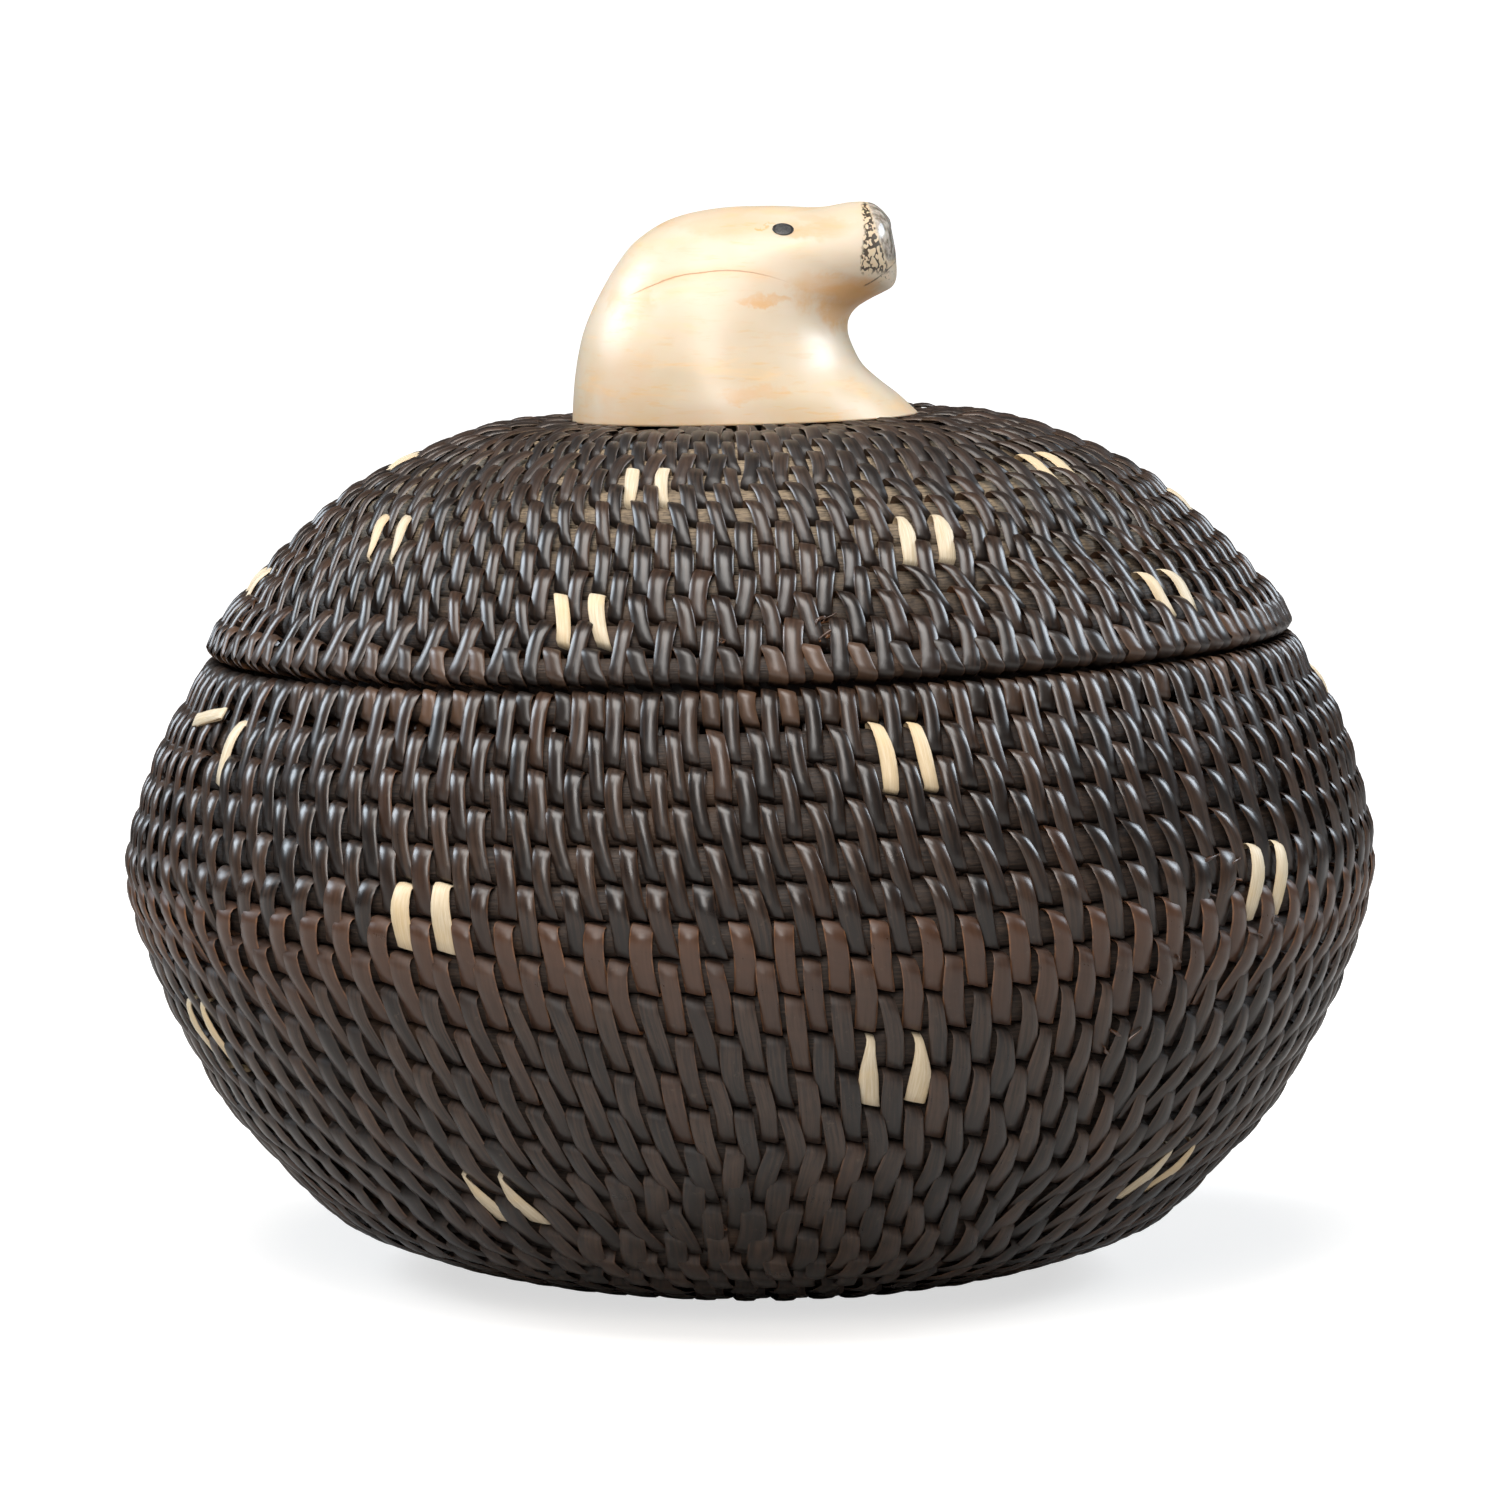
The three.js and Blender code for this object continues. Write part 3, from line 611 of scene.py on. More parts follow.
def strapPiece(name, wall, stitches, finish, body, slot, *replaced):
    mesh = arrayedStraps(len(stitches))
    places = np.zeros(len(mesh.vertices) * 3)
    mesh.vertices.foreach_get("co", places)
    station, corner, number = np.rint(places.reshape(-1, 3)).astype(int).T
    field = {key: np.array([stitch[key] for stitch in stitches], float)[number] for key in stitches[0]}
    loop = np.array(strap["loop"])
    bulges = wall.form["bulgesAt"]
    thickness = coil["strapThickness"] * field["thickness"]
    half = (field["top"] - field["bottom"]) / 2
    middle = (field["top"] + field["bottom"]) / 2

    def onLoop(which):
        along, depth = loop[which % len(loop)].T
        depth = np.where((along > 0) & (depth < strap["outsideDepth"]), depth * field["arch"], depth)
        return middle + half * along * bulges, -depth * (field["depth"] - thickness)

    distance, raised = onLoop(station)
    before, beforeRaised = onLoop(station - 1)
    after, afterRaised = onLoop(station + 1)
    size = np.hypot(after - before, afterRaised - beforeRaised) * bulges
    outAlong, outRaised = (beforeRaised - afterRaised) / size, (after - before) / size

    share = loop[station][:, 0] * bulges
    width = field["width"] * tableAt(strap["widths"], share)
    width = width * (1 - (1 - field["tip"]) * smoothstep(share, strap["tipFrom"], 1))
    width = width * (1 - (1 - field["foot"]) * (1 - smoothstep(share, -1, 0)))
    side, height = np.array(strap["section"])[corner].T
    height = np.where(height > -1, height * (1 - smoothstep(abs(share), *strap["flatFrom"])), height)
    slant = -strap["slant"] * side * width * bulges * (1 - field["square"])

    # a square strap keeps its corners square where it runs aslant
    turn = field["topAngle"] - field["bottomAngle"]
    radius = wall.radius(distance)
    arc = turn * radius
    run = np.hypot(arc, 2 * half)
    aslant = -width * side * arc / run * field["square"]
    width = width * (1 - field["square"] * (1 - 2 * half / run))
    angle = field["bottomAngle"] + turn * (share + 1) / 2 + field["bow"] * (1 - share**2)
    angle = angle + width * side / radius
    raised = raised + outRaised * height * thickness + field["lift"] * np.clip(1 + raised, 0, 1)
    raised = raised + field["twist"] * side * share
    points = wall.place(distance + outAlong * height * thickness + aslant + slant, angle, raised)
    mesh.vertices.foreach_set("co", (points * mm).ravel())
    for key in ("tone", "brown"):
        mesh.attributes.new(key, "FLOAT", "POINT").data.foreach_set("value", field[key].astype(np.float32))
    mesh.update()
    pieceFrom(mesh, name, finishes[finish], body, slot, *replaced)


# Where the stitches go

sewing = {
    "seed": 7,
    "perPiece": 450,
    "bodyEnd": 21.4,  # the rod is spliced away at the back left
    "firstTurn": 1.02,  # the stitches up to here have none below them
    "spread": 0.05,  # of the spacing
    "follow": 0.05,  # the stitches' lean nears the wanted one by this share at each stitch
    "limit": 0.55,  # and isn't further from it than this share of the spacing
    "pairShift": 0.22,  # two stitches in one gap stand this far from its middle
    "pairFoot": 0.72,  # and their feet are this narrow
    # where the stitches end, from the edges of the two rounds that they span
    "overTop": -0.06,
    "overTopVaries": (-0.1, 0.06),
    "underFoot": 0.16,
    "underFootVaries": (-0.06, 0.12),
    # and at the rim
    "rimTopVaries": (-0.06, 0.04),
    "rimLean": 0.1,
    "wrap": {"top": -0.08, "foot": 0.12, "width": 0.47, "lift": -0.1},
    "wrapLean": {"body": -0.05, "lid": 0.12},
}
# How far a stitch's top is past its foot, in stitches, and how it changes with its bearing and its height
lean = {
    "lid": 0.36,
    "lidRight": (-30, 35, -0.2),  # more at bearings past 35 than at those before -30
    "lidBack": (70, 110, -0.25),
    "body": -0.17,
    "bodyRight": (48, 34, 0.42),  # more round a bearing, within this many degrees
    "bodyLeft": (-50, 30, 0.08),
    "rightUpTo": (40, 57),
}
# How the straps differ from one another
straps = {
    "varies": {"width": (0.9, 1.12), "bow": (-0.1, 0.1), "lift": (-0.04, 0.05), "twist": (-0.09, 0.09)},
    "brown": (-0.05, 0.14),
    "brownRounds": {14: 0.5, 15: 0.75},  # these rounds of the body are browner round the front
    "brownFrom": 0.25,
    "brownWithin": 100,
    # the body's straps are broader at the sides
    "sides": (18, 45, 0.05),
    # low at the right they are broader too, and taper upwards
    "taperFrom": (5, 30),
    "taperTo": (80, 110),
    "taperUpTo": (46, 54),
    "taperWidth": 0.08,
    "taper": 0.35,
    # and they are thinner near the foot
    "thinUpTo": (6, 14),
    "thin": 0.25,
    "looseTwist": 0.4,
}


# Degrees from the front, and positive to the right
def bearingOf(rounds):
    return (math.degrees(rounds * fullTurn) + 90 + 180) % 360 - 180


def leanOf(wall, rounds):
    bearing = bearingOf(rounds)
    if wall.form is lidForm:
        atRight = smoothstep(bearing, *lean["lidRight"])
        return lean["lid"] + atRight + smoothstep(abs(bearing), *lean["lidBack"])
    right, left = [
        more * math.exp(-(((bearing - middle) / within) ** 2))
        for middle, within, more in (lean["bodyRight"], lean["bodyLeft"])
    ]
    return lean["body"] + right * (1 - smoothstep(wall.distanceOf(rounds), *lean["rightUpTo"])) + left


# Tops and bottoms along the spiral, in rounds. Each stitch starts in a gap of the round below it.
def stitchSpiral(wall, endRound, chance):
    tops, bottoms, feet = [0], [0], [1]
    gap = None

    def inGap(shift=0):
        return 1 + tops[gap] + (tops[gap + 1] - tops[gap]) * (wall.form["gapShare"] + shift)

    while tops[-1] < endRound:
        spacing = 1 / wall.stitches(tops[-1] + 1)
        wanted = leanOf(wall, tops[-1]) * spacing
        drift = wanted - (tops[-1] - bottoms[-1])
        top = tops[-1] + spacing * (1 + chance.uniform(-1, 1) * sewing["spread"]) + sewing["follow"] * drift
        foot = 1
        if top < sewing["firstTurn"]:
            bottom = top - wanted
        else:
            if gap is None:
                gap = min(range(len(tops) - 1), key=lambda i: abs(tops[i] + 1 - bottoms[-1]))
            gap += 1
            bottom = inGap()
            late = top - bottom - wanted
            if late < -sewing["limit"] * spacing:
                gap -= 1
                bottoms[-1] = inGap(-sewing["pairShift"])
                bottom = inGap(sewing["pairShift"])
                feet[-1] = foot = sewing["pairFoot"]
            elif late > sewing["limit"] * spacing:
                gap += 1
                bottom = inGap()
        tops.append(top)
        bottoms.append(bottom)
        feet.append(foot)
    return tops, bottoms, feet


def brownOf(wall, topRound):
    if wall.form is lidForm or abs(bearingOf(topRound)) > straps["brownWithin"]:
        return 0
    return straps["brownRounds"].get(math.floor(topRound - straps["brownFrom"]), 0)


def stitchOf(wall, topRound, bottomRound, top, bottom, foot, chance, **changes):
    middle = (top + bottom) / 2
    radius = wall.radius(middle)
    spacing = fullTurn * radius / wall.stitches(topRound)
    share = tableAt(wall.form["widthsAt"], middle)
    tapering = thin = 0
    if wall.form is bodyForm:
        bearing = bearingOf(topRound)
        tapering = smoothstep(bearing, *straps["taperFrom"]) * (1 - smoothstep(bearing, *straps["taperTo"]))
        tapering *= 1 - smoothstep(middle, *straps["taperUpTo"])
        share += smoothstep(abs(bearing), *straps["sides"]) + straps["taperWidth"] * tapering
        thin = straps["thin"] * (1 - smoothstep(middle, *straps["thinUpTo"]))
    width, bow, lift, twist = [chance.uniform(*limits) for limits in straps["varies"].values()]
    stitch = {
        "top": top,
        "bottom": bottom,
        "topAngle": topRound * fullTurn,
        "bottomAngle": bottomRound * fullTurn,
        "width": width * np.clip(share * spacing, strap["leastWidth"], strap["width"]),
        "bow": bow * spacing / radius,
        "lift": lift,
        "twist": twist,
        "tone": chance.random(),
        "brown": max(brownOf(wall, topRound), chance.gauss(*straps["brown"]), 0),
        "foot": foot,
        "tip": 1 - straps["taper"] * tapering,
        "thickness": 1 - thin,
        "arch": tableAt(wall.form["archesAt"], middle),
        "depth": coil["wallThickness"],
        "square": 0,
    }
    return {**stitch, **changes}


def footAt(wall, rounds, chance):
    return wall.distanceOf(rounds) + sewing["underFoot"] + chance.uniform(*sewing["underFootVaries"])


def coilStitches(wall, endRound, chance):
    tops, bottoms, feet = stitchSpiral(wall, endRound, chance)
    near, far, high = wall.form.get("loose", (0, 0, 0))
    stitches = []
    for topRound, bottomRound, foot in zip(tops, bottoms, feet):
        top = wall.distanceOf(min(topRound + 1, wall.form["lastRound"]))
        top = top + sewing["overTop"] + chance.uniform(*sewing["overTopVaries"])
        bottom = footAt(wall, bottomRound - 1, chance)
        stitch = stitchOf(wall, topRound, bottomRound, top, bottom, foot, chance)
        if near < top < far:
            stitch["lift"] += chance.uniform(0, high)
            stitch["twist"] += chance.uniform(-straps["looseTwist"], straps["looseTwist"]) * high
        stitches.append(stitch)
    return tops, stitches


# The last round of stitches also goes over the rim rod, with short wraps of the rim rod between them
def rimStitches(wall, label, tops, endRound, chance):
    last = wall.form["lastRound"]
    rimTop = wall.length + coil["clearance"] + 2 * coil["rimRodRadius"]
    full = [top + 1 for top in tops if last <= top + 1 < endRound + 1]
    over = [top + 2 for top in tops if endRound - 1 <= top < last - 1]
    row = sorted(full + over)
    count = len(row)
    wrap, wrapLean = sewing["wrap"], sewing["wrapLean"][label]
    wrapWidth = fullTurn * wall.radius(wall.length) / count * wrap["width"]
    long, short = [], []
    for start, after in zip(row, row[1:] + [row[0] + 1]):
        middle = (start + after) / 2
        bottom = footAt(wall, start - (2 if start > endRound + 1 else 1), chance)
        topRound = middle - sewing["rimLean"] / count
        top = rimTop + chance.uniform(*sewing["rimTopVaries"])
        long.append(stitchOf(wall, topRound, middle, top, bottom, 1, chance))
        wrapRounds = [topRound + (0.5 + wrapLean * sign) / count for sign in (1, -1)]
        ends = rimTop + wrap["top"], wall.length + wrap["foot"]
        short.append(stitchOf(wall, *wrapRounds, *ends, 1, chance, width=wrapWidth, lift=wrap["lift"]))
    return long, short


# The two neighbouring stitches nearest to each pale splint of the frame become that splint
def takePale(wall, stitches, prefix):
    tops, bottoms, topAngles, bottomAngles = np.array(
        [[stitch[key] for stitch in stitches] for key in ("top", "bottom", "topAngle", "bottomAngle")]
    )
    middles = wall.place((tops + bottoms) / 2, (topAngles + bottomAngles) / 2, 0)
    pairs = (middles[:-1] + middles[1:]) / 2
    taken = {}
    for node in sorted(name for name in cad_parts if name.startswith(prefix)):
        low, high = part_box(node)
        centre = np.array((low + high) / 2) / mm
        taken[node] = int(np.argmin(np.linalg.norm(pairs - centre, axis=1)))
    return taken


# Width of each pale stitch at its foot and tip, as shares of its width, for a level or for one splint
paleEnds = {
    "body_pale_1": (1, 0.25),
    "body_pale_2": (1, 0.45),
    "body_pale_3": (0.9, 0.85),
    "body_pale_4": (0.95, 0.85),
    "lid_pale_1": (0.95, 0.85),
    "lid_pale_2": (0.45, 0.95),
    "lid_pale_2_1": (0.95, 0.35),
    "lid_pale_3": (1, 0.95),
}
paleLift = 0.05
# A pale stitch that has come loose at one end and lies askew
loosePale = {"body_pale_4_1": {"rise": 1.2, "turn": -0.13, "lift": 0.45, "depth": 0.75, "width": 1.2}}


def sewCoil(wall, label, body, seed, endRound):
    chance = random.Random(seed)
    tops, stitches = coilStitches(wall, endRound, chance)
    long, short = rimStitches(wall, label, tops, endRound, chance)
    rowStart = len(stitches)
    stitches += long
    used = set()
    for node, first in takePale(wall, stitches, label + "_pale").items():
        foot, tip = paleEnds.get(node, paleEnds[node[: node.rindex("_")]])
        looks = {"foot": foot, "tip": tip, "brown": 0, "lift": paleLift}
        pair = [{**stitches[i], **looks} for i in (first, first + 1)]
        if node in loosePale:
            loose = dict(loosePale[node], square=1)
            loose["bottom"] = pair[0]["top"] - loose.pop("rise")
            loose["bottomAngle"] = pair[0]["topAngle"] + loose.pop("turn")
            pair[0].update(loose)
        used.update((first, first + 1))
        strapPiece(node.replace("_pale_", "_splint_"), wall, pair, "pale", body, "pale_splint", node)
    rest = [stitch for i, stitch in enumerate(stitches[:rowStart]) if i not in used]
    rim = [stitch for i, stitch in enumerate(stitches) if i >= rowStart and i not in used]
    for part, start in enumerate(range(0, len(rest), sewing["perPiece"])):
        some = rest[start : start + sewing["perPiece"]]
        strapPiece(f"{label}_stitches_{part + 1}", wall, some, "baleen", body, "baleen")
    strapPiece(f"{label}_rim_stitches", wall, rim, "baleen", body, "baleen")
    strapPiece(f"{label}_rim_wraps", wall, short, "wrap", body, "wrapped_rim")
    print("stage:", label, "has", len(stitches), "stitches, and", len(short), "rim wraps")


# Torn ends that stick out here and there: bearing, height and count on each wall
frays = {
    "seed": 31,
    "body": [
        (46.7, 34.6, 5), (36.7, 22.8, 3), (52, 31, 3), (40, 28, 2), (-6, 9, 2), (-118, 25, 3), (160, 30, 3),
    ],
    "lid": [(-74, 0.8, 4), (-4.7, 0.9, 2), (9, 0.7, 3), (131, 0.8, 3)],
    "spread": (2.4, 1.3),  # in degrees and along the wall
    "fromEdge": 0.6,
    "lengths": (0.6, 1.4),
    "widths": (0.15, 0.35),
    "askew": 0.008,
    "lifts": (0, 0.08),
    "browns": (0.3, 0.8),
    "shape": {"tip": 0.2, "square": 1, "depth": 0.9, "thickness": 0.5},
    "foot": 0.3,
}


def frayPiece(wall, label, body):
    chance = random.Random(frays["seed"])
    degrees, away = frays["spread"]
    slivers = []
    for bearing, height, count in frays[label]:
        at = np.interp(height * wall.side, wall.outline[:, 1] * wall.side, wall.along)
        for _ in range(count):
            start = math.radians(bearing - 90 + chance.uniform(-degrees, degrees)) / fullTurn
            middle = min(at + chance.uniform(-away, away), wall.length - frays["fromEdge"])
            half = chance.uniform(*frays["lengths"]) / 2
            end = start + chance.uniform(-frays["askew"], frays["askew"])
            changes = {
                "width": chance.uniform(*frays["widths"]),
                "lift": chance.uniform(*frays["lifts"]),
                "brown": chance.uniform(*frays["browns"]),
                **frays["shape"],
            }
            ends = middle + half, middle - half
            slivers.append(stitchOf(wall, start, end, *ends, frays["foot"], chance, **changes))
    strapPiece(f"{label}_frays", wall, slivers, "baleen", body, "baleen")


def buildCoil(wall, label, edge, body, seed, endRound):
    coilRod(wall, label, body, endRound)
    edgeRod(wall, edge, body)
    sewCoil(wall, label, body, seed, endRound)


lidEnd = sewing["bodyEnd"] - bodyForm["lastRound"] + lidForm["lastRound"]
buildCoil(bodyWall, "body", "mouth", "basket", sewing["seed"], sewing["bodyEnd"])
buildCoil(lidWall, "lid", "lid", "lid", sewing["seed"] + 1, lidEnd)
frayPiece(bodyWall, "body", "basket")
frayPiece(lidWall, "lid", "lid")
print("stage: coils sewn")


# Finial

finialForm = {
    "length": 27.7,
    "height": 17.3,
    "width": 25.6,
    # sections from the base to the nose: front x and z, back x and z, width, as shares
    "shares": [
        (0.505, 0, -0.494, 0, 1), (0.45, 0.086, -0.489, 0.116, 0.977), (0.393, 0.16, -0.482, 0.214, 0.945),
        (0.347, 0.232, -0.471, 0.312, 0.914), (0.322, 0.308, -0.455, 0.41, 0.875),
        (0.308, 0.378, -0.43, 0.507, 0.836), (0.311, 0.441, -0.398, 0.604, 0.789),
        (0.334, 0.492, -0.356, 0.712, 0.734), (0.374, 0.531, -0.296, 0.825, 0.68),
        (0.411, 0.559, -0.194, 0.922, 0.625), (0.436, 0.581, -0.059, 0.966, 0.578),
        (0.448, 0.609, 0.092, 0.971, 0.523), (0.452, 0.643, 0.229, 0.959, 0.461),
        (0.452, 0.69, 0.324, 0.978, 0.391), (0.45, 0.748, 0.381, 0.973, 0.312),
        (0.444, 0.812, 0.413, 0.94, 0.219), (0.439, 0.858, 0.434, 0.899, 0.094),
    ],
    "rows": 120,
    "columns": 96,
    "domeFrom": 0.94,  # the rows past this share close the nose with a low dome
    "noseDome": 0.05,
}
finialBase = lidForm["rise"] + coil["clearance"]
lastSection = len(finialForm["shares"]) - 1


def finialPoint(section, around):
    shares = splinePoints(finialForm["shares"])
    at = np.clip(section, 0, lastSection) * splineSteps
    frontX, frontZ, backX, backZ, width = columnsAt(shares, at)
    forward = (1 + np.cos(around)) / 2
    x = (backX + (frontX - backX) * forward) * finialForm["length"]
    y = np.sin(around) * width * finialForm["width"] / 2
    z = finialBase + (backZ + (frontZ - backZ) * forward) * finialForm["height"]
    return np.array([x, y, z])


def finialPlace(along, across):
    domeFrom = finialForm["domeFrom"]
    closing = np.clip((along - domeFrom) / (1 - domeFrom), 0, 1) * math.pi / 2
    body = np.clip(along / domeFrom, 0, 1)
    points = finialPoint(body * lastSection, across * fullTurn)
    noseRing = finialPoint(np.full(8, lastSection), np.arange(8) / 8 * fullTurn)
    centre = noseRing.mean(axis=1)[:, None]
    x, y, z = centre + (points - centre) * np.cos(closing)
    return moved(lidMatrix, x + finialForm["noseDome"] * np.sin(closing), y, z)


# Where the finial's stains, whisker pad and nose lie, seen from the front: x and z
ivoryMarks = {
    # middle, half sizes and strength of each warm stain
    "stains": [
        ((7.6, 77.6), (3.4, 1.9), 1), ((5.9, 79.3), (2, 1), 0.6), ((1.3, 77.8), (2, 0.34), 0.75),
        ((0.6, 70.7), (2.4, 0.7), 0.45), ((-9.6, 77.6), (2, 1.3), 0.5), ((4.6, 83.2), (2.6, 0.8), 0.5),
        ((-3, 84), (4.5, 1), 0.25), ((-10, 71), (3, 3), 0.3), ((1.05, 83.45), (0.3, 0.22), 0.8),
    ],
    "baseStain": (67.4, 70.2),
    # x and z of a point on a line, its slope there and its bend
    "crack": (-1.9, 80.1, 0, -0.035),
    "mouth": (9.07, 78.8, 0.45, 0.11),
    "noseFrom": (9.2, 85.4, 0.323),  # x and z of the nose's edge at the top, and its slant
    "padFrom": (8.72, 9),
    "padHeights": (79.5, 80.1, 85.1, 85.5),
    "dashesPerMm": 1.9,
}


def ivoryFinish():
    finish = Finish("carvedIvory", IOR=1.5, Subsurface_Weight=0.1, Subsurface_Scale=0.002)
    place = finish.place()
    x, y, z = [part / mm for part in finish.parts(place)]
    cloud = finish.noise(place, 110, 3, 0.55)
    streak = finish.noise(finish.stretch(place, 0.35, 0.35, 1.6), 420, 4, 0.6, 0.4)
    fine = finish.noise(finish.stretch(place, 0.25, 0.25, 1), 2200, 2, 0.5)
    rough = finish.noise(place, 330, 4, 0.65)
    mottle = finish.noise(place, 1300)
    bentX = x + (rough - 0.5) * 7
    bentZ = z + (rough - 0.5) * 3.4

    def offLine(name, wobble):
        startX, startZ, slope, bend = ivoryMarks[name]
        past = x - startX
        return (z - (startZ + slope * past + bend * past**2) - wobble).size()

    warm = (1 - z.step(*ivoryMarks["baseStain"])) * 0.5
    for (atX, atZ), (sizeX, sizeZ), strength in ivoryMarks["stains"]:
        far = ((bentX - atX) / sizeX) ** 2 + ((bentZ - atZ) / sizeZ) ** 2
        warm = warm.most((1 - far.step(0, 1.8)) * strength)
    colour = finish.mix(cloud.step(0.3, 0.7), shade(206, 191, 171), shade(198, 180, 152))
    colour = finish.mix(streak.step(0.5, 0.75) * 0.4, colour, shade(228, 188, 130))
    colour = finish.mix((warm * (0.05 + 3 * streak * rough)).least(0.75), colour, shade(204, 152, 92))
    flecks = finish.noise(finish.stretch(place, 0.16, 0.16, 1), 2300).step(0.54, 0.68)
    colour = finish.mix(flecks * cloud.step(0.3, 0.6) * (0.3 + 0.4 * warm), colour, shade(206, 160, 100))

    # a fine crack that arches over the shoulder
    crackLine = offLine("crack", (streak - 0.5) * 0.5)
    within = (x + 10).step(0, 2) * (1 - x.step(-0.5, 3.5)) * (1 - y.step(-1.5, 0))
    crack = (1 - crackLine.step(0.01, 0.09)) * within
    colour = finish.mix((1 - crackLine.step(0, 0.9)) * within * 0.3, colour, shade(222, 168, 108))
    colour = finish.mix(crack * 0.55, colour, shade(150, 92, 52))

    # grey nose, and a whisker pad of short inked dashes behind it
    noseX, noseZ, slant = ivoryMarks["noseFrom"]
    pastNose = x - (noseX + (noseZ - z) * slant)
    lowest, low, high, highest = ivoryMarks["padHeights"]
    pad = (x + (rough - 0.5) * 1.6).step(*ivoryMarks["padFrom"]) * (1 - pastNose.step(-0.05, 0.2))
    pad = pad * z.step(lowest, low) * (1 - z.step(high, highest))
    dashPlace = finish.vector(x * 1.15, y * 0.8, z * 0.8)
    worms = (finish.noise(dashPlace, ivoryMarks["dashesPerMm"], 1, 0.5) - 0.5).size()
    gaps = finish.noise(dashPlace, ivoryMarks["dashesPerMm"] * 1.3, 1, 0.5).step(0.33, 0.4)
    dash = pad * (1 - worms.step(0.06, 0.1)) * gaps
    nose = pastNose.step(0, 0.3) * z.step(80.2, 81.2)
    grey = finish.mix(mottle.step(0.35, 0.65), shade(84, 76, 68), shade(186, 178, 168))
    colour = finish.mix(pad * 0.35, colour, shade(206, 178, 132))
    colour = finish.mix(dash * 0.92, colour, shade(38, 30, 24))
    colour = finish.mix(nose * 0.85, colour, grey)
    mouth = 1 - offLine("mouth", (mottle - 0.5) * 0.12).step(0.02, 0.1)
    mouth = mouth * x.step(8.9, 9.1) * mottle.step(0.36, 0.5)
    cells = finish.add("TexVoronoi", inputs={"Vector": dashPlace, "Scale": 3.1}, output="Distance")
    chin = (1 - cells.step(0.14, 0.24)) * x.step(10, 10.6) * z.step(78.6, 79.1) * (1 - z.step(80.1, 80.4))
    colour = finish.mix(mouth.most(chin) * 0.8, colour, shade(46, 34, 26))
    dents = finish.bump(1 - dash.most(crack), 0.06, 0.5)
    bump = finish.bump(fine, 0.01, 0.3, Normal=finish.bump(rough, 0.02, 0.15, Normal=dents))
    return finish.done(colour, (0.29 + 0.1 * cloud + 0.06 * fine) * (1 - 0.5 * nose), Normal=bump)


eye = {"section": 10.48, "degrees": 118, "halfLength": 0.86, "halfHeight": 0.76, "proud": 0.12}


# A speckled grey plug in a dark ring of glue
def inlayFinish(centre):
    finish = Finish("eyeInlay", IOR=1.5)
    x, _, z = [part / mm for part in finish.parts(finish.place())]
    speck = finish.noise(finish.place(), 3600, 3, 0.7)
    far = ((x - centre.x) / eye["halfLength"]) ** 2 + ((z - centre.z) / eye["halfHeight"]) ** 2
    colour = finish.mix(speck.step(0.35, 0.65), shade(36, 35, 35), shade(72, 70, 68))
    return finish.done(finish.mix(far.step(0.42, 0.6), colour, shade(20, 14, 10)), 0.42 + 0.2 * speck)


def eyePiece(hand, side):
    shifts = np.array([(0, 0), (1, 0), (-1, 0), (0, 1), (0, -1)]).T * 0.05
    sections = eye["section"] + shifts[0]
    around = hand * math.radians(eye["degrees"]) + shifts[1]
    places = moved(lidMatrix, *finialPoint(sections, around))
    middle, ahead, behind, up, down = [Vector(place) for place in places]
    outward = (up - down).cross(ahead - behind).normalized()
    level = (Vector((1, 0, 0)) - outward * outward.x).normalized()
    sizes = Matrix.Diagonal((eye["halfLength"], eye["halfHeight"], eye["proud"], 1))
    turned = Matrix((level, outward.cross(level), outward)).transposed().to_4x4()
    matrix = Matrix.Diagonal((mm, mm, mm, 1)) @ Matrix.Translation(middle) @ turned @ sizes
    bm = bmesh.new()
    bm.loops.layers.uv.new("UVMap")
    bmesh.ops.create_uvsphere(bm, u_segments=32, v_segments=12, radius=1, matrix=matrix, calc_uvs=True)
    name = "eye_inlay_" + side
    pieceFrom(meshFrom(bm, name), name, inlayFinish(middle), "lid", "inlay", "finial_eye_" + side)


finialMesh = bentSheet(finialForm["rows"], finialForm["columns"], finialPlace)
pieceFrom(finialMesh, "finial_carving", ivoryFinish(), "lid", "ivory", "finial")
print("stage: finial carved")

eyePiece(1, "left")
eyePiece(-1, "right")
for nodeName in ("base_disc", "lid_disc", "finial_peg"):
    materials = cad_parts[nodeName].data.materials
    materials.clear()
    materials.append(finishes["disc"])


# The starter of each coil: a rod round the drilled disc, laced to it through the disc's holes

starter = {
    "rodSwell": 0.25,
    "rodWide": {"base": 0.68, "lid": 0.25},  # the first rod lies against the first round
    "discRadius": {"base": 11.3, "lid": 8.9},
    "discThickness": 2,
    "holeInset": 1.6,
    "holeSpacing": 5,
    "laceWidth": 0.8,
    "laceThickness": 0.35,
    "laceBend": 0.5,
    "laceSink": 0.1,
    "laceSteps": 4,
    # across a ribbon, as shares of its width and its thickness
    "laceSection": [(-0.5, -0.3), (-0.34, 0.3), (0, 0.5), (0.34, 0.3), (0.5, -0.3), (0, -0.5), (-0.5, -0.3)],
}


# A ribbon along a line of points, with a direction across it at each point
def ribbon(points, sideways, width):
    section = starter["laceSection"]

    def place(along, across):
        at = along * (len(points) - 1)
        centre, side, run = [
            np.stack(columnsAt(rows, at), axis=-1) for rows in (points, sideways, np.gradient(points, axis=0))
        ]
        outward = np.cross(side, run)
        outward /= np.linalg.norm(outward, axis=1)[:, None]
        beside, raised = columnsAt(section, across * (len(section) - 1))
        return centre + side * beside[:, None] * width + outward * raised[:, None] * starter["laceThickness"]

    return bentSheet(len(points) - 1, len(section) - 1, place)


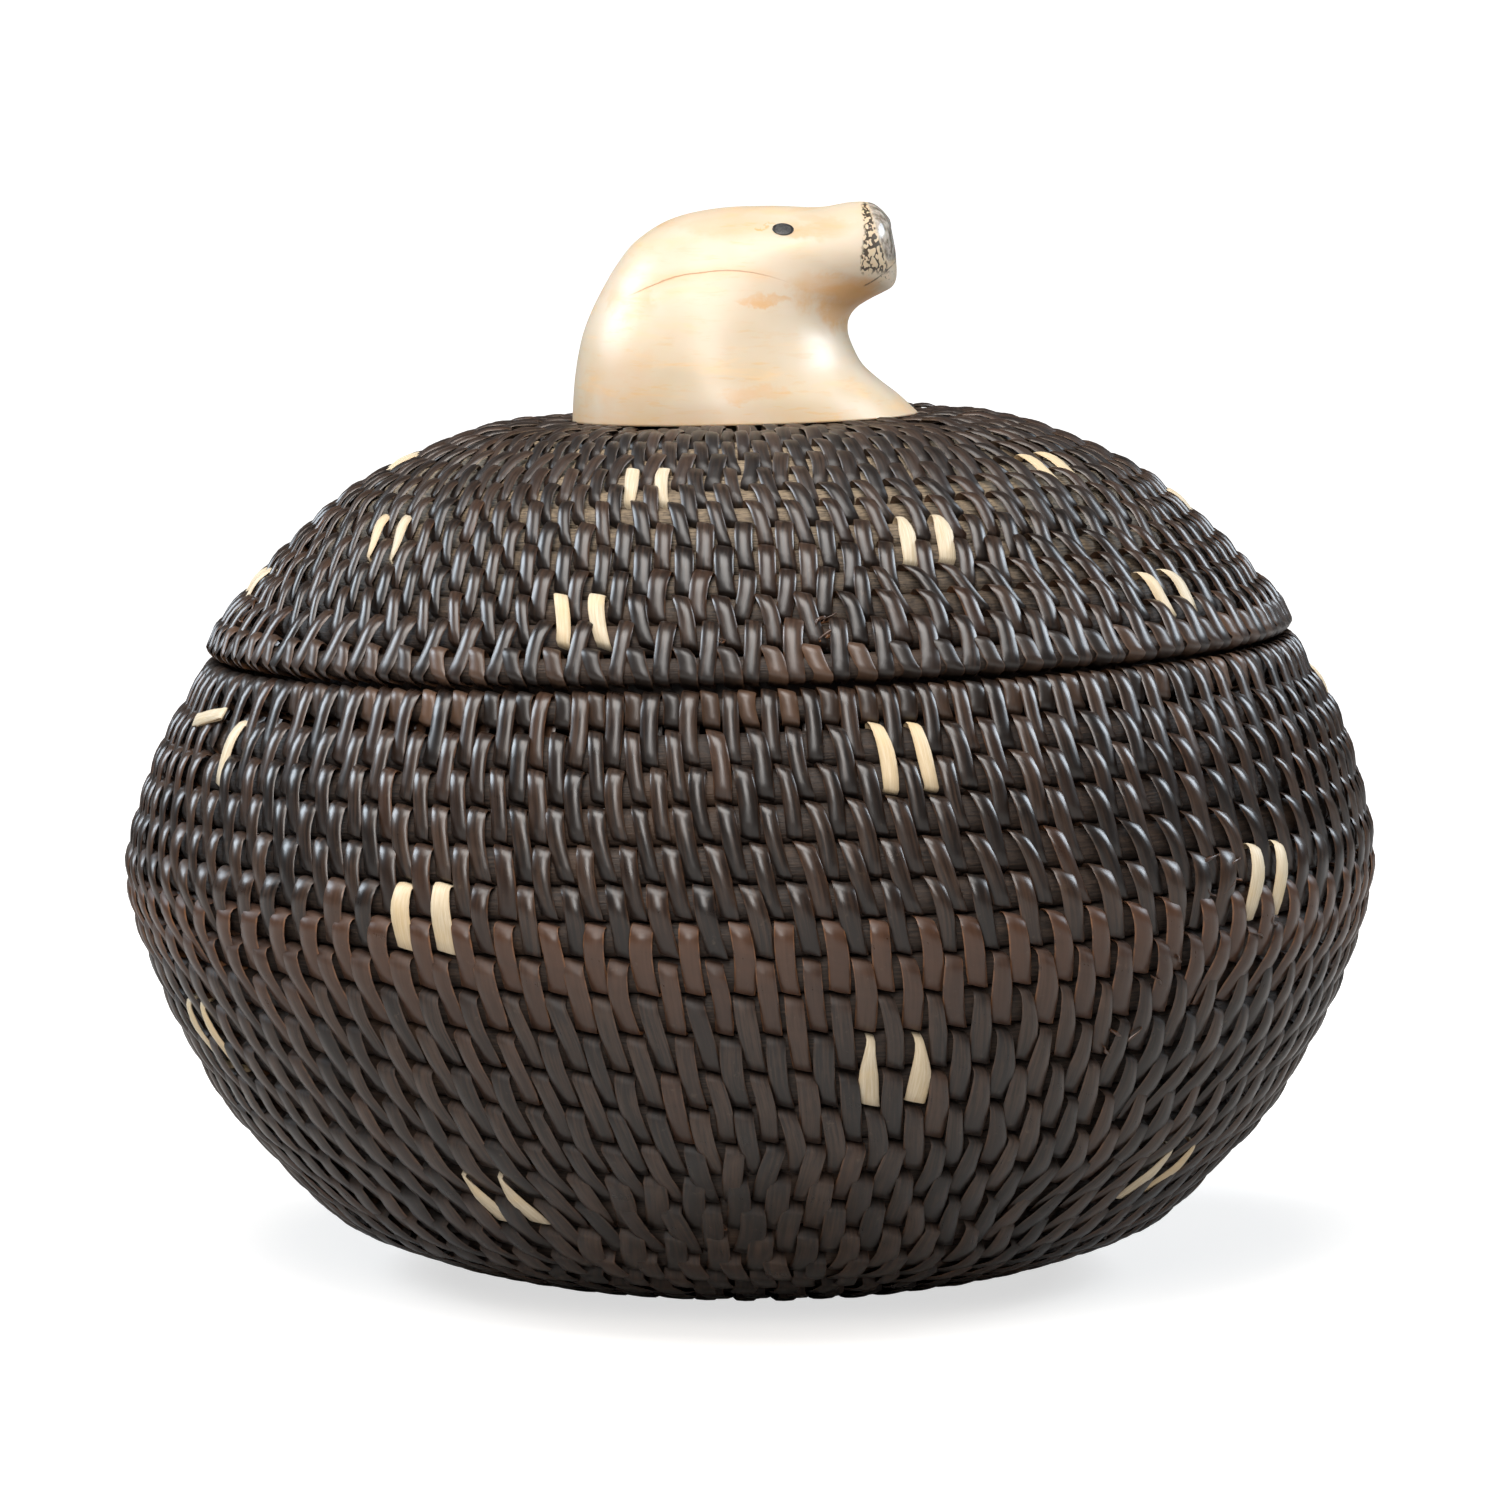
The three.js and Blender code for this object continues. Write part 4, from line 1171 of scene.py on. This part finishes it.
def buildStarter(which, body, matrix, z):
    radius = starter["discRadius"][which]
    rodRadius = starter["discThickness"] / 2
    rodCentre = radius + coil["clearance"] + rodRadius
    reach = rodRadius + coil["clearance"] + starter["laceThickness"] / 2
    swell, wide = starter["rodSwell"], starter["rodWide"][which]

    def ring(along, across):
        around = across * fullTurn
        r = rodCentre + wide - swell + (rodRadius + wide) * np.cos(around)
        return turnedTo(matrix, r, along * fullTurn, z + (rodRadius + swell) * np.sin(around))

    mesh = bentSheet(coil["rodStepsPerRound"], coil["rodSides"], ring)
    pieceFrom(mesh, f"{which}_starter_rod", finishes["shortRod"], body, "baleen", f"{which}_first_rod")

    inner, outer, bend = radius - starter["holeInset"], rodCentre + reach, starter["laceBend"]
    # up through a hole, out over the rod, down and back below to the next hole: radius, height and hole
    path = [
        (inner, reach - bend, 0), (inner + bend, reach, 0),
        (outer - bend, reach, 0), (outer, reach - bend, 0),
        (outer, bend - reach, 0), (outer - bend, -reach, 0),
        (inner + bend, -reach, 1), (inner, bend - reach, 1),
    ]
    count = round(fullTurn * inner / starter["holeSpacing"])
    line = np.array([(r, h, (i + on) * fullTurn / count) for i in range(count) for r, h, on in path])
    line = np.vstack([line, line[0] + (0, 0, fullTurn)])
    r, h, turn = np.transpose(splinePoints(line, starter["laceSteps"]))
    points = turnedTo(matrix, r, turn, z + h)
    ahead = turnedTo(matrix, r + 1, turn, z + h)
    up = moved(matrix, 0 * r, 0, z + h + 1) - moved(matrix, 0 * r, 0, z + h)
    mesh = ribbon(points, np.cross(up, ahead - points), starter["laceWidth"])
    pieceFrom(mesh, f"{which}_starter_lacing", finishes["lacing"], body, "lacing", f"{which}_lacing")


laceDepth = starter["laceSink"] + starter["laceThickness"] + coil["clearance"]
starterDepth = laceDepth + starter["discThickness"] / 2
buildStarter("base", "basket", Matrix.Identity(4), starterDepth)
buildStarter("lid", "lid", lidMatrix, lidForm["rise"] - starterDepth)


# The ring that drops into the mouth, and the strips folded over its edge

ringForm = {
    "thickness": 0.9,
    "height": 8.5,
    "rounding": 0.25,
    "steps": (120, 32),
    "strips": 8,
    "stripWidth": 1.4,
    "stripDrop": 2.6,
    "foldFrom": 1,
    "foldBend": 0.35,
    "foldIn": 0.1,
}


def buildRing():
    gap = coil["clearance"]
    half = starter["laceThickness"] / 2
    edge = lidWall.outline[-2] - lidWall.edgeOutward * coil["wallThickness"]
    room = 2 * gap + starter["laceThickness"]
    outer = lidRod[0] - coil["rimRodRadius"] - room
    inner = outer - ringForm["thickness"]
    top = edge[1] - room

    def band(along, across):
        corner = np.array([np.cos(across * fullTurn), np.sin(across * fullTurn)])
        cos, sin = np.sign(corner) * abs(corner) ** ringForm["rounding"]
        r = (outer + inner) / 2 + cos * ringForm["thickness"] / 2
        return turnedTo(lidMatrix, r, along * fullTurn, top + (sin - 1) * ringForm["height"] / 2)

    mesh = bentSheet(*ringForm["steps"], band)
    pieceFrom(mesh, "mouth_ring", finishes["band"], "lid", "baleen", "lid_ring")

    # from the drop of a strip's end up to its fold: distance from the ring, and height
    high = top + gap + half
    fold = [
        (gap + half, top + gap - ringForm["stripDrop"]), (gap + half, top - ringForm["foldFrom"]),
        (gap + half, high - ringForm["foldBend"]), (gap - ringForm["foldIn"], high),
    ]
    line = [(inner - away, h) for away, h in fold] + [(outer + away, h) for away, h in fold[::-1]]
    r, h = np.transpose(splinePoints(line, starter["laceSteps"]))
    for i in range(ringForm["strips"]):
        turn = fullTurn * i / ringForm["strips"]
        beside = turnedTo(lidMatrix, 1, turn + math.pi / 2, h) - moved(lidMatrix, 0, 0, h)
        mesh = ribbon(turnedTo(lidMatrix, r, turn, h), beside, ringForm["stripWidth"])
        pieceFrom(mesh, f"ring_tie_{i + 1}", finishes["lacing"], "lid", "lacing", f"ring_strip_{i + 1}")


buildRing()
print("stage: starters and ring laced")


# Floor, lights and camera

studio = {
    "target": (0, 0, 41.4),
    "distance": 632,
    "elevationDegrees": 5.4,
    "lens": 189,
    "sensor": 36,
    # place, size, power and colour of each soft lamp
    "lamps": {
        "topLamp": ((-60, -200, 540), (400, 240), 2.8, (1, 0.97, 0.94)),
        "frontLamp": ((-70, -440, 310), (150, 360), 1.8, (1, 0.97, 0.94)),
        "leftLamp": ((-400, 110, 290), (220, 190), 1.8, (0.8, 0.9, 1)),
        "rightLamp": ((400, 110, 290), (220, 190), 1.8, (0.8, 0.9, 1)),
    },
    "ambient": 0.09,
    "paper": (0.49, 0.465, 0.44, 1),
    "paperGlow": (1, 1, 1, 1),
    "nearGlow": (0.66, 0.66, 0.66, 1),  # less near the basket, so that its shadow shows
    "glowFrom": (0.05, 0.16),
    # the paper's width, depth, height and bend, all in metres
    "sweep": (3.2, 2.4, 1.6, 0.7),
    "sweepSteps": (4, 40),
    "sweepFront": 1.2,
    "sweepBelow": 0.00025,
}
target = Vector(studio["target"]) * mm


def sweepPlace(share):
    _, depth, height, bend = studio["sweep"]
    straight = depth - bend
    arc = bend * math.pi / 2
    run = share * (straight + arc + height)
    if run > straight + arc:
        return depth, bend + run - straight - arc
    turn = max(run - straight, 0) / bend
    return min(run, straight) + bend * math.sin(turn), bend * (1 - math.cos(turn))


def buildStage():
    bm = gridOf(*studio["sweepSteps"])
    for vertex in bm.verts:
        y, z = sweepPlace(vertex.co.y + 0.5)
        vertex.co = (vertex.co.x * studio["sweep"][0], y - studio["sweepFront"], z - studio["sweepBelow"])
    mesh = meshFrom(bm, "sweep")
    makeSmooth(mesh)
    finish = Finish("palePaper", Specular_IOR_Level=0.2)
    seen = finish.add("LightPath", output="Is Camera Ray")
    x, y, _ = finish.parts(finish.place())
    away = ((x**2 + y**2) ** 0.5).step(*studio["glowFrom"])
    glow = finish.mix(seen, (0, 0, 0, 1), finish.mix(away, studio["nearGlow"], studio["paperGlow"]))
    emission = {"Emission Color": glow, "Emission Strength": 1}
    mesh.materials.append(finish.done(studio["paper"], 0.9, **emission))
    sweep = addObject("paper_sweep", mesh)


# Puts a lamp or the camera at a place, in metres, and turns it to the target
def aimAtTarget(looker, place):
    looker.location = place
    looker.rotation_euler = (target - place).to_track_quat("-Z", "Y").to_euler()


def buildLights():
    world = bpy.data.worlds.new("studioAir")
    bpy.context.scene.world = world
    world.use_nodes = True
    nodes, links = world.node_tree.nodes, world.node_tree.links
    background = nodes["Background"]
    path = nodes.new("ShaderNodeLightPath")
    strength = nodes.new("ShaderNodeMix")
    strength.inputs["A"].default_value = studio["ambient"]
    strength.inputs["B"].default_value = 1
    links.new(path.outputs["Is Camera Ray"], strength.inputs["Factor"])
    links.new(strength.outputs["Result"], background.inputs["Strength"])
    background.inputs["Color"].default_value = (1, 1, 1, 1)
    for name, (place, (width, height), power, colour) in studio["lamps"].items():
        lamp = bpy.data.lights.new(name, "AREA")
        lamp.shape = "RECTANGLE"
        lamp.size, lamp.size_y = width * mm, height * mm
        lamp.energy = power
        lamp.color = colour
        aimAtTarget(addObject(name, lamp), Vector(place) * mm)


def buildCamera():
    camera = bpy.data.cameras.new("camera")
    camera.lens = studio["lens"]
    camera.sensor_width = studio["sensor"]
    cameraObject = addObject("camera", camera)
    rise = math.radians(studio["elevationDegrees"])
    away = Vector((0, -math.cos(rise), math.sin(rise))) * studio["distance"] * mm
    aimAtTarget(cameraObject, target + away)
    bpy.context.scene.camera = cameraObject


buildStage()
buildLights()
buildCamera()
bpy.context.scene.view_settings.view_transform = "Standard"
print("stage: studio ready")
